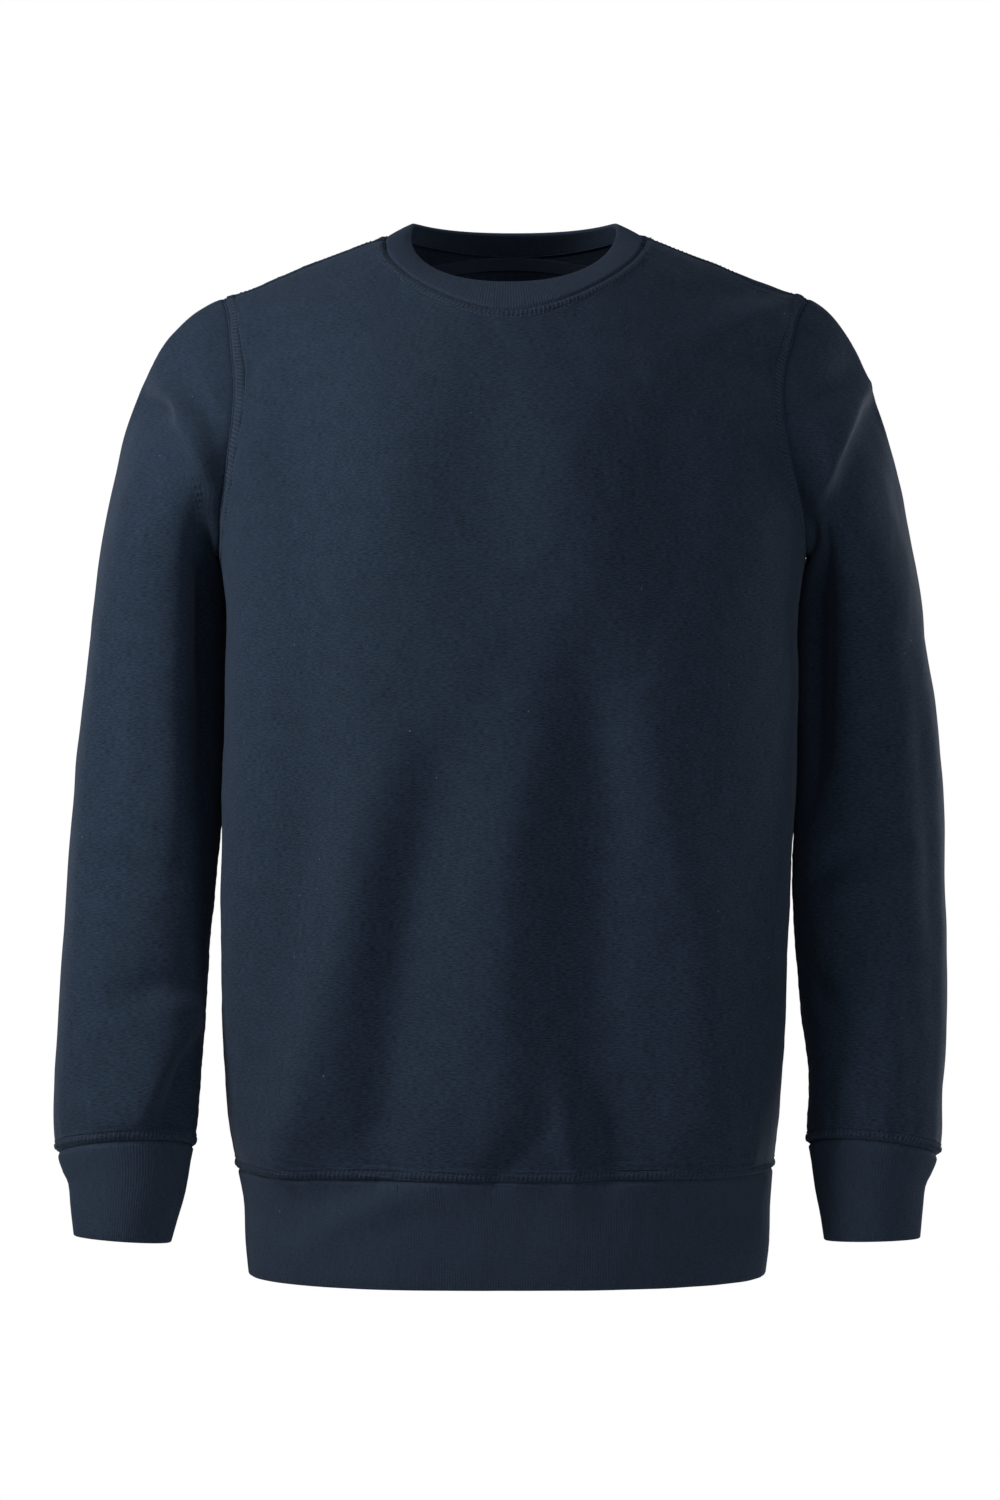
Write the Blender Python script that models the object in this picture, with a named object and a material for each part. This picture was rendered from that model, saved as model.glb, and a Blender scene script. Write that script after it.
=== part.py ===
"""Crewneck sweatshirt in its worn form, hollow, with open neck, hem and cuffs.

Metres, +Z up, the front towards -Y and the wearer's left towards +X. The origin is at the middle of the
neck, level with the two points where the shoulders carry the garment.

The torso is one smooth form, read by an angle round the body and a level down from the shoulder ridge.
The front, the back, the waistband, the neckband and the neck tape are cut from it, and each sleeve runs
from its armhole on that form to its cuff. Every piece is a wall of cloth with a cut edge all round.
"""

from collections import namedtuple
from math import pi

import bpy
import numpy as np

# ---- driving sizes ----
CLOTH = 0.0020  # brushed fleece
RIB = 0.0028  # folded rib knit
TAPE = 0.0010
SEAM_GAP = 0.0003  # between two pieces at a seam

SHOULDER_RISE = 0.0256  # ridge height at the middle of the neck
SHOULDER_SLOPE = 0.408
SHOULDER_ROUND = 0.06  # how softly the ridge turns down beside the neck

NECK_CENTRE = 0.0030
NECK_LEAN = 0.0045  # the front of the neck hangs this far to the right
NECK_HALF_WIDTH = 0.0890  # at the neck seam
NECK_FRONT_HEIGHT = -0.0525
NECK_BACK_DROP = 0.0214  # below the ridge
NECK_SQUARENESS = 1.8
NECKBAND_HALF_WIDTH = 0.0705  # at its top edge, an oval that is level behind and dips in front
NECKBAND_HALF_DEPTH = 0.0680
NECKBAND_CENTRE_Y = -0.0110
NECKBAND_SQUARENESS = 2.3
NECKBAND_HEIGHT = 0.0195
NECKBAND_BACK_DIP = 0.0022  # its top edge hangs this much behind
NECKBAND_DIP_FROM = -0.0020
NECKBAND_DIP_SLOPE = 0.66
NECKBAND_DIP_ROUND = 0.012
NECKBAND_BULGE = 0.0005
NECK_TAPE_WIDTH = 0.0115
TAPE_CLEARANCE = 0.0009  # between the tape and the flat facets of the back

SHOULDER_SEAM_LEVEL = 0.055  # the seam lies this far down the front of the ridge (square root of metres)
SHOULDER_POINT_ANGLE = 24.0

WAIST_SEAM_DROP = 0.6340
HEM_DROP = 0.7060
FULL_SLOPE_DROP = 0.18  # rows follow the shoulder slope above this drop
LEVEL_DROP = 0.50  # and are level below this one
FOLD_FADE = 0.25  # share of a fold's length over which it fades at an end
FOLD_FACING = (0.1, 0.6)  # a fold grows over this range as the cloth turns to face it
SHARP_EDGE = 50  # degrees

CAP_RING = 3  # row of the sleeve tables where the rounded cap ends
CUFF_RING = 8  # row of the sleeve tables at the cuff seam

# ---- how finely each piece is divided ----
SHOULDER_COLUMNS = 7  # in each shoulder seam
NECK_COLUMNS = 18  # in each half of the neckline
PANEL_COLUMNS = 2 * SHOULDER_COLUMNS + NECK_COLUMNS
SIDE_ROWS = 13  # in each side seam
ARMHOLE_ROWS = 13  # in each half of an armhole
CAP_ROWS = 8
FREE_ROWS = 3  # over these rows the sleeve's folds grow from nothing at the armhole seam
SLEEVE_ROWS = 16
CUFF_ROWS = 3
WAISTBAND_ROWS = 3
NECKBAND_ROWS = 3
TAPE_ROWS = 2
MEASURING_POINTS = 200
NECK_CROWDING = 1.2  # over 1, the rows are closer together near the neck than near the waist
NEAR_STEP = 0.002  # in angle and level, to read which way the torso's face looks
COURSE_STEP = 0.004  # in height, to read which way a sleeve runs

# ---- shape tables: one row for each height ----
# drop: below the ridge; front, back: depth at the centre; squareness: 2 is an oval, more is boxier
TorsoRow = namedtuple("TorsoRow", "drop half_width front back squareness centre_x")
TORSO = (
    TorsoRow(0.000, 0.222, 0.000, 0.000, 2.0, 0.0035),
    TorsoRow(0.003, 0.221, 0.020, 0.033, 2.0, 0.0035),
    TorsoRow(0.013, 0.220, 0.042, 0.067, 2.0, 0.0025),
    TorsoRow(0.035, 0.218, 0.070, 0.089, 2.1, 0.0008),
    TorsoRow(0.070, 0.216, 0.096, 0.107, 2.3, -0.0012),
    TorsoRow(0.115, 0.212, 0.118, 0.121, 2.5, -0.0010),
    TorsoRow(0.160, 0.204, 0.130, 0.129, 2.5, 0.0015),
    TorsoRow(0.215, 0.197, 0.136, 0.131, 2.5, 0.0015),
    TorsoRow(0.300, 0.197, 0.136, 0.126, 2.5, 0.0008),
    TorsoRow(0.380, 0.1965, 0.132, 0.119, 2.5, -0.0015),
    TorsoRow(0.460, 0.1955, 0.128, 0.116, 2.5, -0.0035),
    TorsoRow(0.540, 0.1930, 0.126, 0.117, 2.5, -0.0040),
    TorsoRow(0.600, 0.1890, 0.125, 0.118, 2.5, -0.0045),
    TorsoRow(0.634, 0.1840, 0.121, 0.116, 2.5, -0.0035),
    TorsoRow(0.658, 0.1810, 0.1185, 0.1145, 2.5, -0.0025),
    TorsoRow(0.685, 0.1800, 0.1180, 0.1140, 2.5, -0.0020),
    TorsoRow(0.706, 0.1780, 0.1165, 0.1130, 2.5, -0.0020),
)

# the armhole, from the underarm point to the shoulder point, as angle round the body and drop
ArmholeRow = namedtuple("ArmholeRow", "angle drop")
ARMHOLE_FRONT = (
    ArmholeRow(0.0, 0.1790),
    ArmholeRow(11.0, 0.1740),
    ArmholeRow(20.0, 0.1530),
    ArmholeRow(28.0, 0.1330),
    ArmholeRow(33.5, 0.1010),
    ArmholeRow(33.5, 0.0680),
    ArmholeRow(29.0, 0.0340),
)
ARMHOLE_BACK = (
    ArmholeRow(0, 0.1790),
    ArmholeRow(10, 0.1740),
    ArmholeRow(18, 0.1480),
    ArmholeRow(26, 0.1080),
    ArmholeRow(30, 0.0720),
    ArmholeRow(30, 0.0350),
    ArmholeRow(27, 0.0060),
)

# sleeves from the shoulder down: centre, half sizes across and front to back, squareness
SleeveRow = namedtuple("SleeveRow", "height centre_x centre_y half_width half_depth squareness")
SLEEVE_LEFT = (
    SleeveRow(-0.060, 0.2180, 0.006, 0.0340, 0.070, 2.2),
    SleeveRow(-0.130, 0.2320, 0.013, 0.0380, 0.070, 2.2),
    SleeveRow(-0.200, 0.2387, 0.024, 0.0410, 0.068, 2.2),
    SleeveRow(-0.270, 0.2436, 0.030, 0.0453, 0.066, 2.3),
    SleeveRow(-0.354, 0.2488, 0.029, 0.0505, 0.062, 2.3),
    SleeveRow(-0.437, 0.2485, 0.014, 0.0525, 0.059, 2.2),
    SleeveRow(-0.520, 0.2500, -0.006, 0.0500, 0.055, 2.1),
    SleeveRow(-0.575, 0.2505, -0.021, 0.0458, 0.051, 2.1),
    SleeveRow(-0.620, 0.2478, -0.031, 0.0443, 0.047, 2.0),
    SleeveRow(-0.640, 0.2455, -0.035, 0.0385, 0.041, 2.0),
    SleeveRow(-0.660, 0.2460, -0.038, 0.0350, 0.037, 2.0),
    SleeveRow(-0.680, 0.2465, -0.039, 0.0325, 0.035, 2.0),
)
SLEEVE_RIGHT = (
    SleeveRow(-0.060, -0.2150, 0.006, 0.0340, 0.070, 2.2),
    SleeveRow(-0.130, -0.2300, 0.013, 0.0380, 0.070, 2.2),
    SleeveRow(-0.200, -0.2374, 0.024, 0.0416, 0.068, 2.2),
    SleeveRow(-0.270, -0.2430, 0.030, 0.0460, 0.066, 2.3),
    SleeveRow(-0.354, -0.2484, 0.029, 0.0504, 0.062, 2.3),
    SleeveRow(-0.437, -0.2550, 0.014, 0.0510, 0.059, 2.2),
    SleeveRow(-0.520, -0.2600, -0.006, 0.0503, 0.055, 2.1),
    SleeveRow(-0.575, -0.2618, -0.021, 0.0495, 0.051, 2.1),
    SleeveRow(-0.620, -0.2625, -0.031, 0.0465, 0.047, 2.0),
    SleeveRow(-0.640, -0.2610, -0.035, 0.0410, 0.041, 2.0),
    SleeveRow(-0.660, -0.2625, -0.038, 0.0370, 0.037, 2.0),
    SleeveRow(-0.680, -0.2640, -0.039, 0.0330, 0.035, 2.0),
)

# how the sleeve leaves the armhole, as reach out, forward and up: round it from the shoulder (0) over the front
# or back to the underarm (180)
LeaveRow = namedtuple("LeaveRow", "around out forward up")
SLEEVE_LEAVES = (
    LeaveRow(0, 0.150, 0.000, -0.048),
    LeaveRow(45, 0.120, 0.020, -0.060),
    LeaveRow(90, 0.085, 0.020, -0.060),
    LeaveRow(135, 0.050, 0.010, -0.040),
    LeaveRow(180, 0.030, 0.000, -0.006),
)
ARMHOLE_BEVEL = 0.0011  # more room behind the armhole seam

# fullness: how far the top of the cap reaches out; pull: how firmly the cap follows the arm where it ends
Cap = namedtuple("Cap", "fullness pull")
CAPS = {"left": Cap(0.96, 0.17), "right": Cap(1.27, 0.24)}

# soft folds, where they lie seen from the front: from x, z to end_x, end_z, bowed sideways; ridges rise and
# troughs fall
Fold = namedtuple("Fold", "face x z end_x end_z bow width rise")
FACING = {"front": 1, "back": -1}
BODY_FOLDS = (
    Fold("front", -0.090, -0.290, -0.156, -0.640, -0.006, 0.015, 0.0055),
    Fold("front", -0.080, -0.340, -0.122, -0.625, -0.004, 0.017, -0.0055),
    Fold("front", 0.030, -0.270, 0.012, -0.520, 0.008, 0.020, -0.0045),
    Fold("front", 0.060, -0.300, 0.098, -0.560, 0.000, 0.022, 0.0040),
    Fold("front", 0.098, -0.290, 0.140, -0.610, -0.004, 0.016, -0.0050),
    Fold("front", 0.032, -0.560, 0.040, -0.660, 0.000, 0.014, 0.0045),
    Fold("back", -0.070, -0.330, -0.110, -0.620, 0.000, 0.020, 0.0050),
    Fold("back", -0.010, -0.300, -0.020, -0.600, 0.000, 0.022, -0.0050),
    Fold("back", 0.060, -0.340, 0.095, -0.630, 0.000, 0.020, 0.0050),
)
LEFT_FOLDS = (
    Fold("front", 0.242, -0.082, 0.198, -0.114, 0.000, 0.009, -0.0035),
    Fold("front", 0.252, -0.090, 0.196, -0.162, 0.000, 0.010, 0.0050),
    Fold("front", 0.244, -0.125, 0.222, -0.170, 0.000, 0.011, -0.0040),
    Fold("front", 0.215, -0.440, 0.275, -0.415, 0.006, 0.010, -0.0030),
    Fold("back", 0.250, -0.090, 0.190, -0.160, 0.000, 0.012, 0.0050),
    Fold("back", 0.285, -0.400, 0.215, -0.450, 0.000, 0.014, -0.0040),
)
RIGHT_FOLDS = (
    Fold("front", -0.236, -0.094, -0.194, -0.138, 0.000, 0.009, -0.0040),
    Fold("front", -0.246, -0.098, -0.192, -0.170, 0.000, 0.010, 0.0055),
    Fold("front", -0.256, -0.112, -0.222, -0.140, 0.000, 0.009, -0.0045),
    Fold("front", -0.212, -0.540, -0.258, -0.610, -0.004, 0.013, -0.0045),
    Fold("front", -0.270, -0.500, -0.235, -0.520, 0.000, 0.011, -0.0030),
    Fold("back", -0.250, -0.090, -0.190, -0.160, 0.000, 0.012, 0.0050),
    Fold("back", -0.285, -0.400, -0.215, -0.450, 0.000, 0.014, -0.0040),
)


def along(rows, name):
    return np.array([getattr(row, name) for row in rows], float)


def through(knots, values, at):
    """The smooth curve through the values at the knots, read at the places given."""
    slopes = np.gradient(values, knots)
    at = np.asarray(at, float)
    low = np.clip(np.searchsorted(knots, at) - 1, 0, len(knots) - 2)
    width = knots[low + 1] - knots[low]
    t = (at - knots[low]) / width
    return (
        (2 * t**3 - 3 * t**2 + 1) * values[low]
        + (t**3 - 2 * t**2 + t) * width * slopes[low]
        + (3 * t**2 - 2 * t**3) * values[low + 1]
        + (t**3 - t**2) * width * slopes[low + 1]
    )


def ease(low, high, at):
    t = np.clip((at - low) / (high - low), 0, 1)
    return t * t * (3 - 2 * t)


def oval(angle, squareness):
    """Cosine and sine of an oval that squareness makes boxier."""
    cosine, sine = np.cos(angle), np.sin(angle)
    radius = (np.abs(cosine) ** squareness + np.abs(sine) ** squareness) ** (1 / squareness)
    return cosine / radius, sine / radius


def ridge(x):
    """Height of the shoulder ridge."""
    return SHOULDER_RISE - SHOULDER_SLOPE * (np.hypot(x, SHOULDER_ROUND) - SHOULDER_ROUND)


TORSO_LEVELS = np.sqrt(along(TORSO, "drop"))


def torso(angle, level):
    """Points of the torso's outer face. The angle is 0 at the left side seam and pi at the right one. The level
    is the square root of the drop below the ridge, and is negative behind the ridge."""
    angle, level = np.broadcast_arrays(np.asarray(angle, float), np.asarray(level, float))
    depth = np.abs(level)
    drop = depth**2
    cosine, sine = oval(angle, through(TORSO_LEVELS, along(TORSO, "squareness"), depth))
    ahead = through(TORSO_LEVELS, along(TORSO, "front"), depth)
    behind = through(TORSO_LEVELS, along(TORSO, "back"), depth)
    x = through(TORSO_LEVELS, along(TORSO, "half_width"), depth) * cosine
    y = np.where(level > 0, -ahead, behind) * sine
    slope_share = 1 - ease(FULL_SLOPE_DROP, LEVEL_DROP, drop)
    z = ridge(x) * slope_share - drop
    x = x + through(TORSO_LEVELS, along(TORSO, "centre_x"), depth)
    return np.stack([x, y, z], -1)


def angle_at(x, level):
    """Angle at which the torso reaches x at this level."""
    depth = np.abs(level)
    squareness = through(TORSO_LEVELS, along(TORSO, "squareness"), depth)
    cosine = (x - through(TORSO_LEVELS, along(TORSO, "centre_x"), depth)) / through(
        TORSO_LEVELS, along(TORSO, "half_width"), depth
    )
    sine = np.clip(1 - np.abs(cosine) ** squareness, 0, 1) ** (1 / squareness)
    return np.arctan2(sine, cosine)


def unit(vectors):
    return vectors / np.linalg.norm(vectors, axis=-1, keepdims=True)


def square_to(one, two):
    """Unit vectors square to both fields."""
    return unit(np.cross(one, two))


def grid_normals(grid, closed):
    """Outward normals of a grid of points, rows by columns."""
    if closed:
        ring = np.concatenate([grid[:, -1:], grid, grid[:, :1]], axis=1)
        around = (ring[:, 2:] - ring[:, :-2]) / 2
    else:
        around = np.gradient(grid, axis=1)
    up = np.gradient(grid, axis=0)
    return square_to(around, up)


def torso_normals(angle, level):
    """Outward normals of the torso's form, the same for every piece that is cut from it."""
    around = torso(angle + NEAR_STEP, level) - torso(angle - NEAR_STEP, level)
    down = torso(angle, level + NEAR_STEP) - torso(angle, level - NEAR_STEP)
    return square_to(around, down)


# ---- cutting lines, as angle and level ----
def armhole_line(rows, side, share):
    """Angle and level along the left armhole, share 0 at the underarm and 1 at the shoulder point. The side is 1
    in front and -1 behind."""
    angles = np.append(along(rows, "angle"), SHOULDER_POINT_ANGLE)
    levels = np.append(side * np.sqrt(along(rows, "drop")), SHOULDER_SEAM_LEVEL)
    steps = np.linalg.norm(np.diff(torso(np.radians(angles), levels), axis=0), axis=1)
    knots = np.append(0, np.cumsum(steps)) / steps.sum()
    return np.radians(through(knots, angles, share)), through(knots, levels, share)


def side_line(rows, side):
    """Angle and level from the waistband up the left side seam and round the armhole to the shoulder point."""
    seam = np.linspace(side * WAIST_SEAM_DROP**0.5, side * rows[0].drop ** 0.5, SIDE_ROWS + 1)[:-1]
    angle, level = armhole_line(rows, side, np.linspace(0, 1, ARMHOLE_ROWS + 1))
    return np.append(np.zeros(SIDE_ROWS), angle), np.append(seam, level)


def neck_line(side, share):
    """Angle and level of the neckline, share 0 at the left shoulder and 1 at the right one."""
    cosine, sine = oval(pi * np.asarray(share, float), NECK_SQUARENESS)
    sine = np.clip(sine, 0, 1)
    x = NECK_CENTRE + NECK_HALF_WIDTH * cosine
    if side > 0:
        x = x - NECK_LEAN * sine
        height = ridge(x) - SHOULDER_SEAM_LEVEL**2
        height = height + (NECK_FRONT_HEIGHT - height) * sine
        level = np.sqrt(ridge(x) - height)
    else:
        level = SHOULDER_SEAM_LEVEL - (SHOULDER_SEAM_LEVEL + NECK_BACK_DROP**0.5) * sine
    return angle_at(x, level), level


def top_line(side):
    """Angle and level of a panel's top edge: left shoulder seam, neckline, right shoulder seam."""
    angle, level = neck_line(side, np.linspace(0, 1, NECK_COLUMNS + 1))
    shoulder = np.radians(SHOULDER_POINT_ANGLE)
    on_left = np.linspace(shoulder, angle[0], SHOULDER_COLUMNS + 1)[:-1]
    on_right = np.linspace(angle[-1], pi - shoulder, SHOULDER_COLUMNS + 1)[1:]
    seam = np.full(SHOULDER_COLUMNS, SHOULDER_SEAM_LEVEL)
    return np.concatenate([on_left, angle, on_right]), np.concatenate([seam, level, seam])


def centre_progress(side, top_level, count):
    """How far down the centre line each row is, as a share of its levels: closer together near the neck."""
    share = np.linspace(0, 1, MEASURING_POINTS)
    line = torso(pi / 2, top_level + (side * WAIST_SEAM_DROP**0.5 - top_level) * share)
    length = np.append(0, np.cumsum(np.linalg.norm(np.diff(line, axis=0), axis=1)))
    return np.interp(np.linspace(1, 0, count) ** NECK_CROWDING * length[-1], length, share)


def panel_cut(rows, side):
    """Angle and level of each grid point of a panel, from the waistband up and from the left side to the right."""
    across = np.linspace(0, 1, PANEL_COLUMNS + 1)
    side_angle, side_level = (part[:, None] for part in side_line(rows, side))
    top_angle, top_level = top_line(side)
    bottom_level = side_level[0]
    at_side = (side_level - top_level[0]) / (bottom_level - top_level[0])
    at_centre = centre_progress(side, top_level[PANEL_COLUMNS // 2], len(side_level))[:, None]
    near_side = (2 * across - 1) ** 2
    progress = at_side * near_side + at_centre * (1 - near_side)
    level = top_level + (bottom_level - top_level) * progress
    top_share = (top_angle - top_angle[0]) / (top_angle[-1] - top_angle[0])
    share = across + (top_share - across) * (1 - at_centre) ** 2
    return side_angle + (pi - 2 * side_angle) * share, level


# ---- folds ----
def folded(points, normals, folds):
    """The points, moved out along their normals by each fold's ridge or in by its trough."""
    rise = np.zeros(points.shape[:-1])
    flat = points[..., (0, 2)]
    for fold in folds:
        start, end = np.array([fold.x, fold.z]), np.array([fold.end_x, fold.end_z])
        course = end - start
        length = np.hypot(*course)
        share = ((flat - start) @ course) / length**2
        side = ((flat - start) @ np.array([-course[1], course[0]])) / length
        side = side - fold.bow * 4 * share * (1 - share)
        facing = -normals[..., 1] * FACING[fold.face]
        taper = ease(-FOLD_FADE, FOLD_FADE, share) * ease(1 + FOLD_FADE, 1 - FOLD_FADE, share)
        rise += fold.rise * np.exp(-((side / fold.width) ** 2)) * taper * ease(*FOLD_FACING, facing)
    return points + rise[..., None] * normals


# ---- solids ----
def wall(name, outer, inner, closed, material):
    """A closed wall between two grids of points. A closed grid's last column joins its first."""
    rows, columns = outer.shape[:2]
    index = np.arange(rows * columns).reshape(rows, columns)
    after = np.roll(index, -1, axis=1) if closed else index[:, 1:]
    before = index if closed else index[:, :-1]
    quads = np.stack([before[:-1], after[:-1], after[1:], before[1:]], -1).reshape(-1, 4)
    if closed:
        rims = [index[0], index[-1, ::-1]]
    else:
        rims = [np.concatenate([index[0, :-1], index[:-1, -1], index[-1, :0:-1], index[:0:-1, 0]])]
    edges = [np.stack([np.roll(rim, -1), rim, rim + index.size, np.roll(rim, -1) + index.size], -1) for rim in rims]
    faces = np.concatenate([quads, quads[:, ::-1] + index.size, *edges])
    mesh = bpy.data.meshes.new(name)
    mesh.from_pydata(np.concatenate([outer.reshape(-1, 3), inner.reshape(-1, 3)]).tolist(), [], faces.tolist())
    mesh.materials.append(material)
    mesh.shade_smooth()
    mesh.set_sharp_from_angle(angle=np.radians(SHARP_EDGE))
    piece = bpy.data.objects.new(name, mesh)
    bpy.context.scene.collection.objects.link(piece)
    return piece


EDGES = {
    "bottom": (np.s_[0, :], np.s_[1, :]),
    "top": (np.s_[-1, :], np.s_[-2, :]),
    "start": (np.s_[:, 0], np.s_[:, 1]),
    "end": (np.s_[:, -1], np.s_[:, -2]),
}
CORNERS = (("bottom", "start", 0, 0), ("bottom", "end", 0, -1), ("top", "start", -1, 0), ("top", "end", -1, -1))


def inwards(grid, name):
    """Unit vectors from an edge of the grid into it, square to the edge."""
    edge, inside = EDGES[name]
    across = grid[inside] - grid[edge]
    course = unit(np.gradient(grid[edge], axis=0))
    return unit(across - (across * course).sum(-1, keepdims=True) * course)


def drawn_in(grid, margins):
    """The grid with its edges drawn in. Margins gives the distance at each edge that it names."""
    drawn = grid.copy()
    into = {name: inwards(grid, name) for name in margins}
    for name, margin in margins.items():
        drawn[EDGES[name][0]] = grid[EDGES[name][0]] + into[name] * margin
    for first, second, row, column in CORNERS:
        if first in margins and second in margins:
            one, two = into[first][column], into[second][row]
            shared = one @ two
            parts = np.linalg.solve([[1, shared], [shared, 1]], [margins[first], margins[second]])
            drawn[row, column] = grid[row, column] + parts[0] * one + parts[1] * two
    return drawn


def knit(name, colour, roughness):
    material = bpy.data.materials.new(name)
    material.use_nodes = True
    shader = material.node_tree.nodes["Principled BSDF"]
    shader.inputs["Base Color"].default_value = (*colour, 1)
    shader.inputs["Roughness"].default_value = roughness
    shader.inputs["Metallic"].default_value = 0.0
    return material


def panel_wall(rows, side):
    """Outer and inner points of the front or the back, in the order that faces them outwards."""
    angle, level = panel_cut(rows, side)
    if side > 0:
        angle, level = angle[:, ::-1], level[:, ::-1]
    normals = torso_normals(angle, level)
    outer = folded(torso(angle, level), normals, BODY_FOLDS)
    half = SEAM_GAP / 2
    edges = {"bottom": half, "top": half, "start": half, "end": half}
    inner = drawn_in(outer - normals * CLOTH, edges)
    armhole = slice(SIDE_ROWS, -1)
    for edge, column in (("start", 0), ("end", -1)):
        inner[armhole, column] += inwards(inner, edge)[armhole] * ARMHOLE_BEVEL
    return drawn_in(outer, edges), inner


def make_waistband(material):
    turn = np.arange(2 * PANEL_COLUMNS) / PANEL_COLUMNS * pi
    front = turn <= pi
    drop = np.linspace(HEM_DROP, WAIST_SEAM_DROP + SEAM_GAP / 2, WAISTBAND_ROWS + 1)[:, None]
    level = np.sqrt(drop) * np.where(turn < pi, 1, -1)
    angle = np.broadcast_to(np.where(front, pi - turn, turn - pi), level.shape)
    normals = torso_normals(angle, level)
    outer = folded(torso(angle, level), normals, BODY_FOLDS)
    return wall("waistband", outer, outer - normals * RIB, True, material)


def neckband_edge(turn):
    """The folded top edge of the neckband, from the right side (0) over the front."""
    cosine, sine = oval(turn, NECKBAND_SQUARENESS)
    x = NECK_CENTRE - NECKBAND_HALF_WIDTH * cosine - NECK_LEAN * np.clip(sine, 0, 1)
    y = NECKBAND_CENTRE_Y - NECKBAND_HALF_DEPTH * sine
    ahead = NECKBAND_DIP_FROM - y
    z = NECKBAND_HEIGHT - NECKBAND_DIP_SLOPE * (ahead + np.hypot(ahead, NECKBAND_DIP_ROUND)) / 2
    return np.stack([x, y, z - NECKBAND_BACK_DIP * np.clip(-sine, 0, 1) ** 2], -1)


def make_neckband(material):
    """A band from the neck seam to its folded top edge, a little rounded between them."""
    turn = np.arange(2 * NECK_COLUMNS) / NECK_COLUMNS * pi
    share = np.where(turn < pi, 1 - turn / pi, turn / pi - 1)
    angle, level = np.where(turn < pi, neck_line(1, share), neck_line(-1, share))
    seam, seam_facing = torso(angle, level), torso_normals(angle, level)
    top = neckband_edge(turn)
    up = unit(top - seam)
    course = np.roll(seam, -1, axis=0) - np.roll(seam, 1, axis=0)
    away = square_to(seam_facing, course)
    away *= np.sign((away * up).sum(-1, keepdims=True))
    seam = seam + away * SEAM_GAP / 2
    share = np.linspace(0, 1, NECKBAND_ROWS + 1)[:, None, None]
    outer = seam + (top - seam) * share
    facing = square_to(np.roll(outer, -1, axis=1) - np.roll(outer, 1, axis=1), np.broadcast_to(up, outer.shape))
    outer = outer + facing * NECKBAND_BULGE * 4 * share * (1 - share)
    facing[0] = seam_facing
    return wall("neckband", outer, outer - facing * RIB, True, material)


def make_neck_tape(material):
    """A strip on the inner face of the back, just under the neck seam."""
    inner = panel_wall(ARMHOLE_BACK, -1)[1]
    neck = np.s_[SHOULDER_COLUMNS + 1 : SHOULDER_COLUMNS + NECK_COLUMNS]
    edge, below = inner[-1, neck], inner[-2, neck]
    width = np.linspace(NECK_TAPE_WIDTH, SEAM_GAP, TAPE_ROWS + 1)[:, None, None]
    strip = edge + unit(below - edge) * width
    facing = -grid_normals(strip, False)
    facing *= np.sign((facing * (strip.mean((0, 1)) * (0, -1, 0))).sum(-1, keepdims=True))
    outer = strip + facing * TAPE_CLEARANCE
    return wall("neck_tape", outer, outer + facing * TAPE, False, material)


# ---- sleeves ----
def sleeve_centres(rows, drop):
    heights = -along(rows, "height")
    across, back = (through(heights, along(rows, name), drop) for name in ("centre_x", "centre_y"))
    return np.stack([across, back, -drop], -1)


def sleeve_sections(rows, height):
    """Points round the sleeve at each height, rows by columns, from the outer side over the front, and the
    directions in which the sleeve runs there."""
    heights = -along(rows, "height")
    drop = -np.asarray(height, float)
    side = np.sign(rows[0].centre_x)
    course = unit(sleeve_centres(rows, drop + COURSE_STEP) - sleeve_centres(rows, drop - COURSE_STEP))
    forward = unit(np.cross(course, (1, 0, 0)))
    out = unit(np.cross(forward, course)) * side
    around = np.arange(2 * ARMHOLE_ROWS) / ARMHOLE_ROWS * pi
    cosine, sine = oval(around, through(heights, along(rows, "squareness"), drop)[:, None])
    half_width = through(heights, along(rows, "half_width"), drop)[:, None]
    half_depth = through(heights, along(rows, "half_depth"), drop)[:, None]
    ring = out[:, None] * (half_width * cosine)[..., None] + forward[:, None] * (half_depth * sine)[..., None]
    return sleeve_centres(rows, drop)[:, None] + ring, course


def armhole_ring(mirrored, fullness):
    """Points round a sleeve's end, just clear of the armhole, from the shoulder point over the front to the
    underarm and up the back, and how the sleeve leaves each."""
    around = np.arange(2 * ARMHOLE_ROWS) / ARMHOLE_ROWS * 180
    front = around <= 180
    share = np.where(front, 1 - around / 180, around / 180 - 1)
    angle, level = np.where(front, armhole_line(ARMHOLE_FRONT, 1, share), armhole_line(ARMHOLE_BACK, -1, share))
    if mirrored:
        angle = pi - angle
    fuller = 1 + (fullness - 1) * (1 + np.cos(np.radians(around))) / 2
    from_top = np.where(front, around, 360 - around)
    knots = along(SLEEVE_LEAVES, "around")
    out, forward, up = (through(knots, along(SLEEVE_LEAVES, name), from_top) for name in ("out", "forward", "up"))
    leave = np.stack([out * fuller * (-1 if mirrored else 1), np.where(front, -forward, forward), up], -1)
    ring = torso(angle, level)
    away = square_to(torso_normals(angle, level), np.roll(ring, -1, axis=0) - np.roll(ring, 1, axis=0))
    away *= np.sign((away * (ring.mean(0) - ring)).sum(-1, keepdims=True))
    return ring + (unit(leave) + away) * SEAM_GAP / 2, leave


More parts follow.
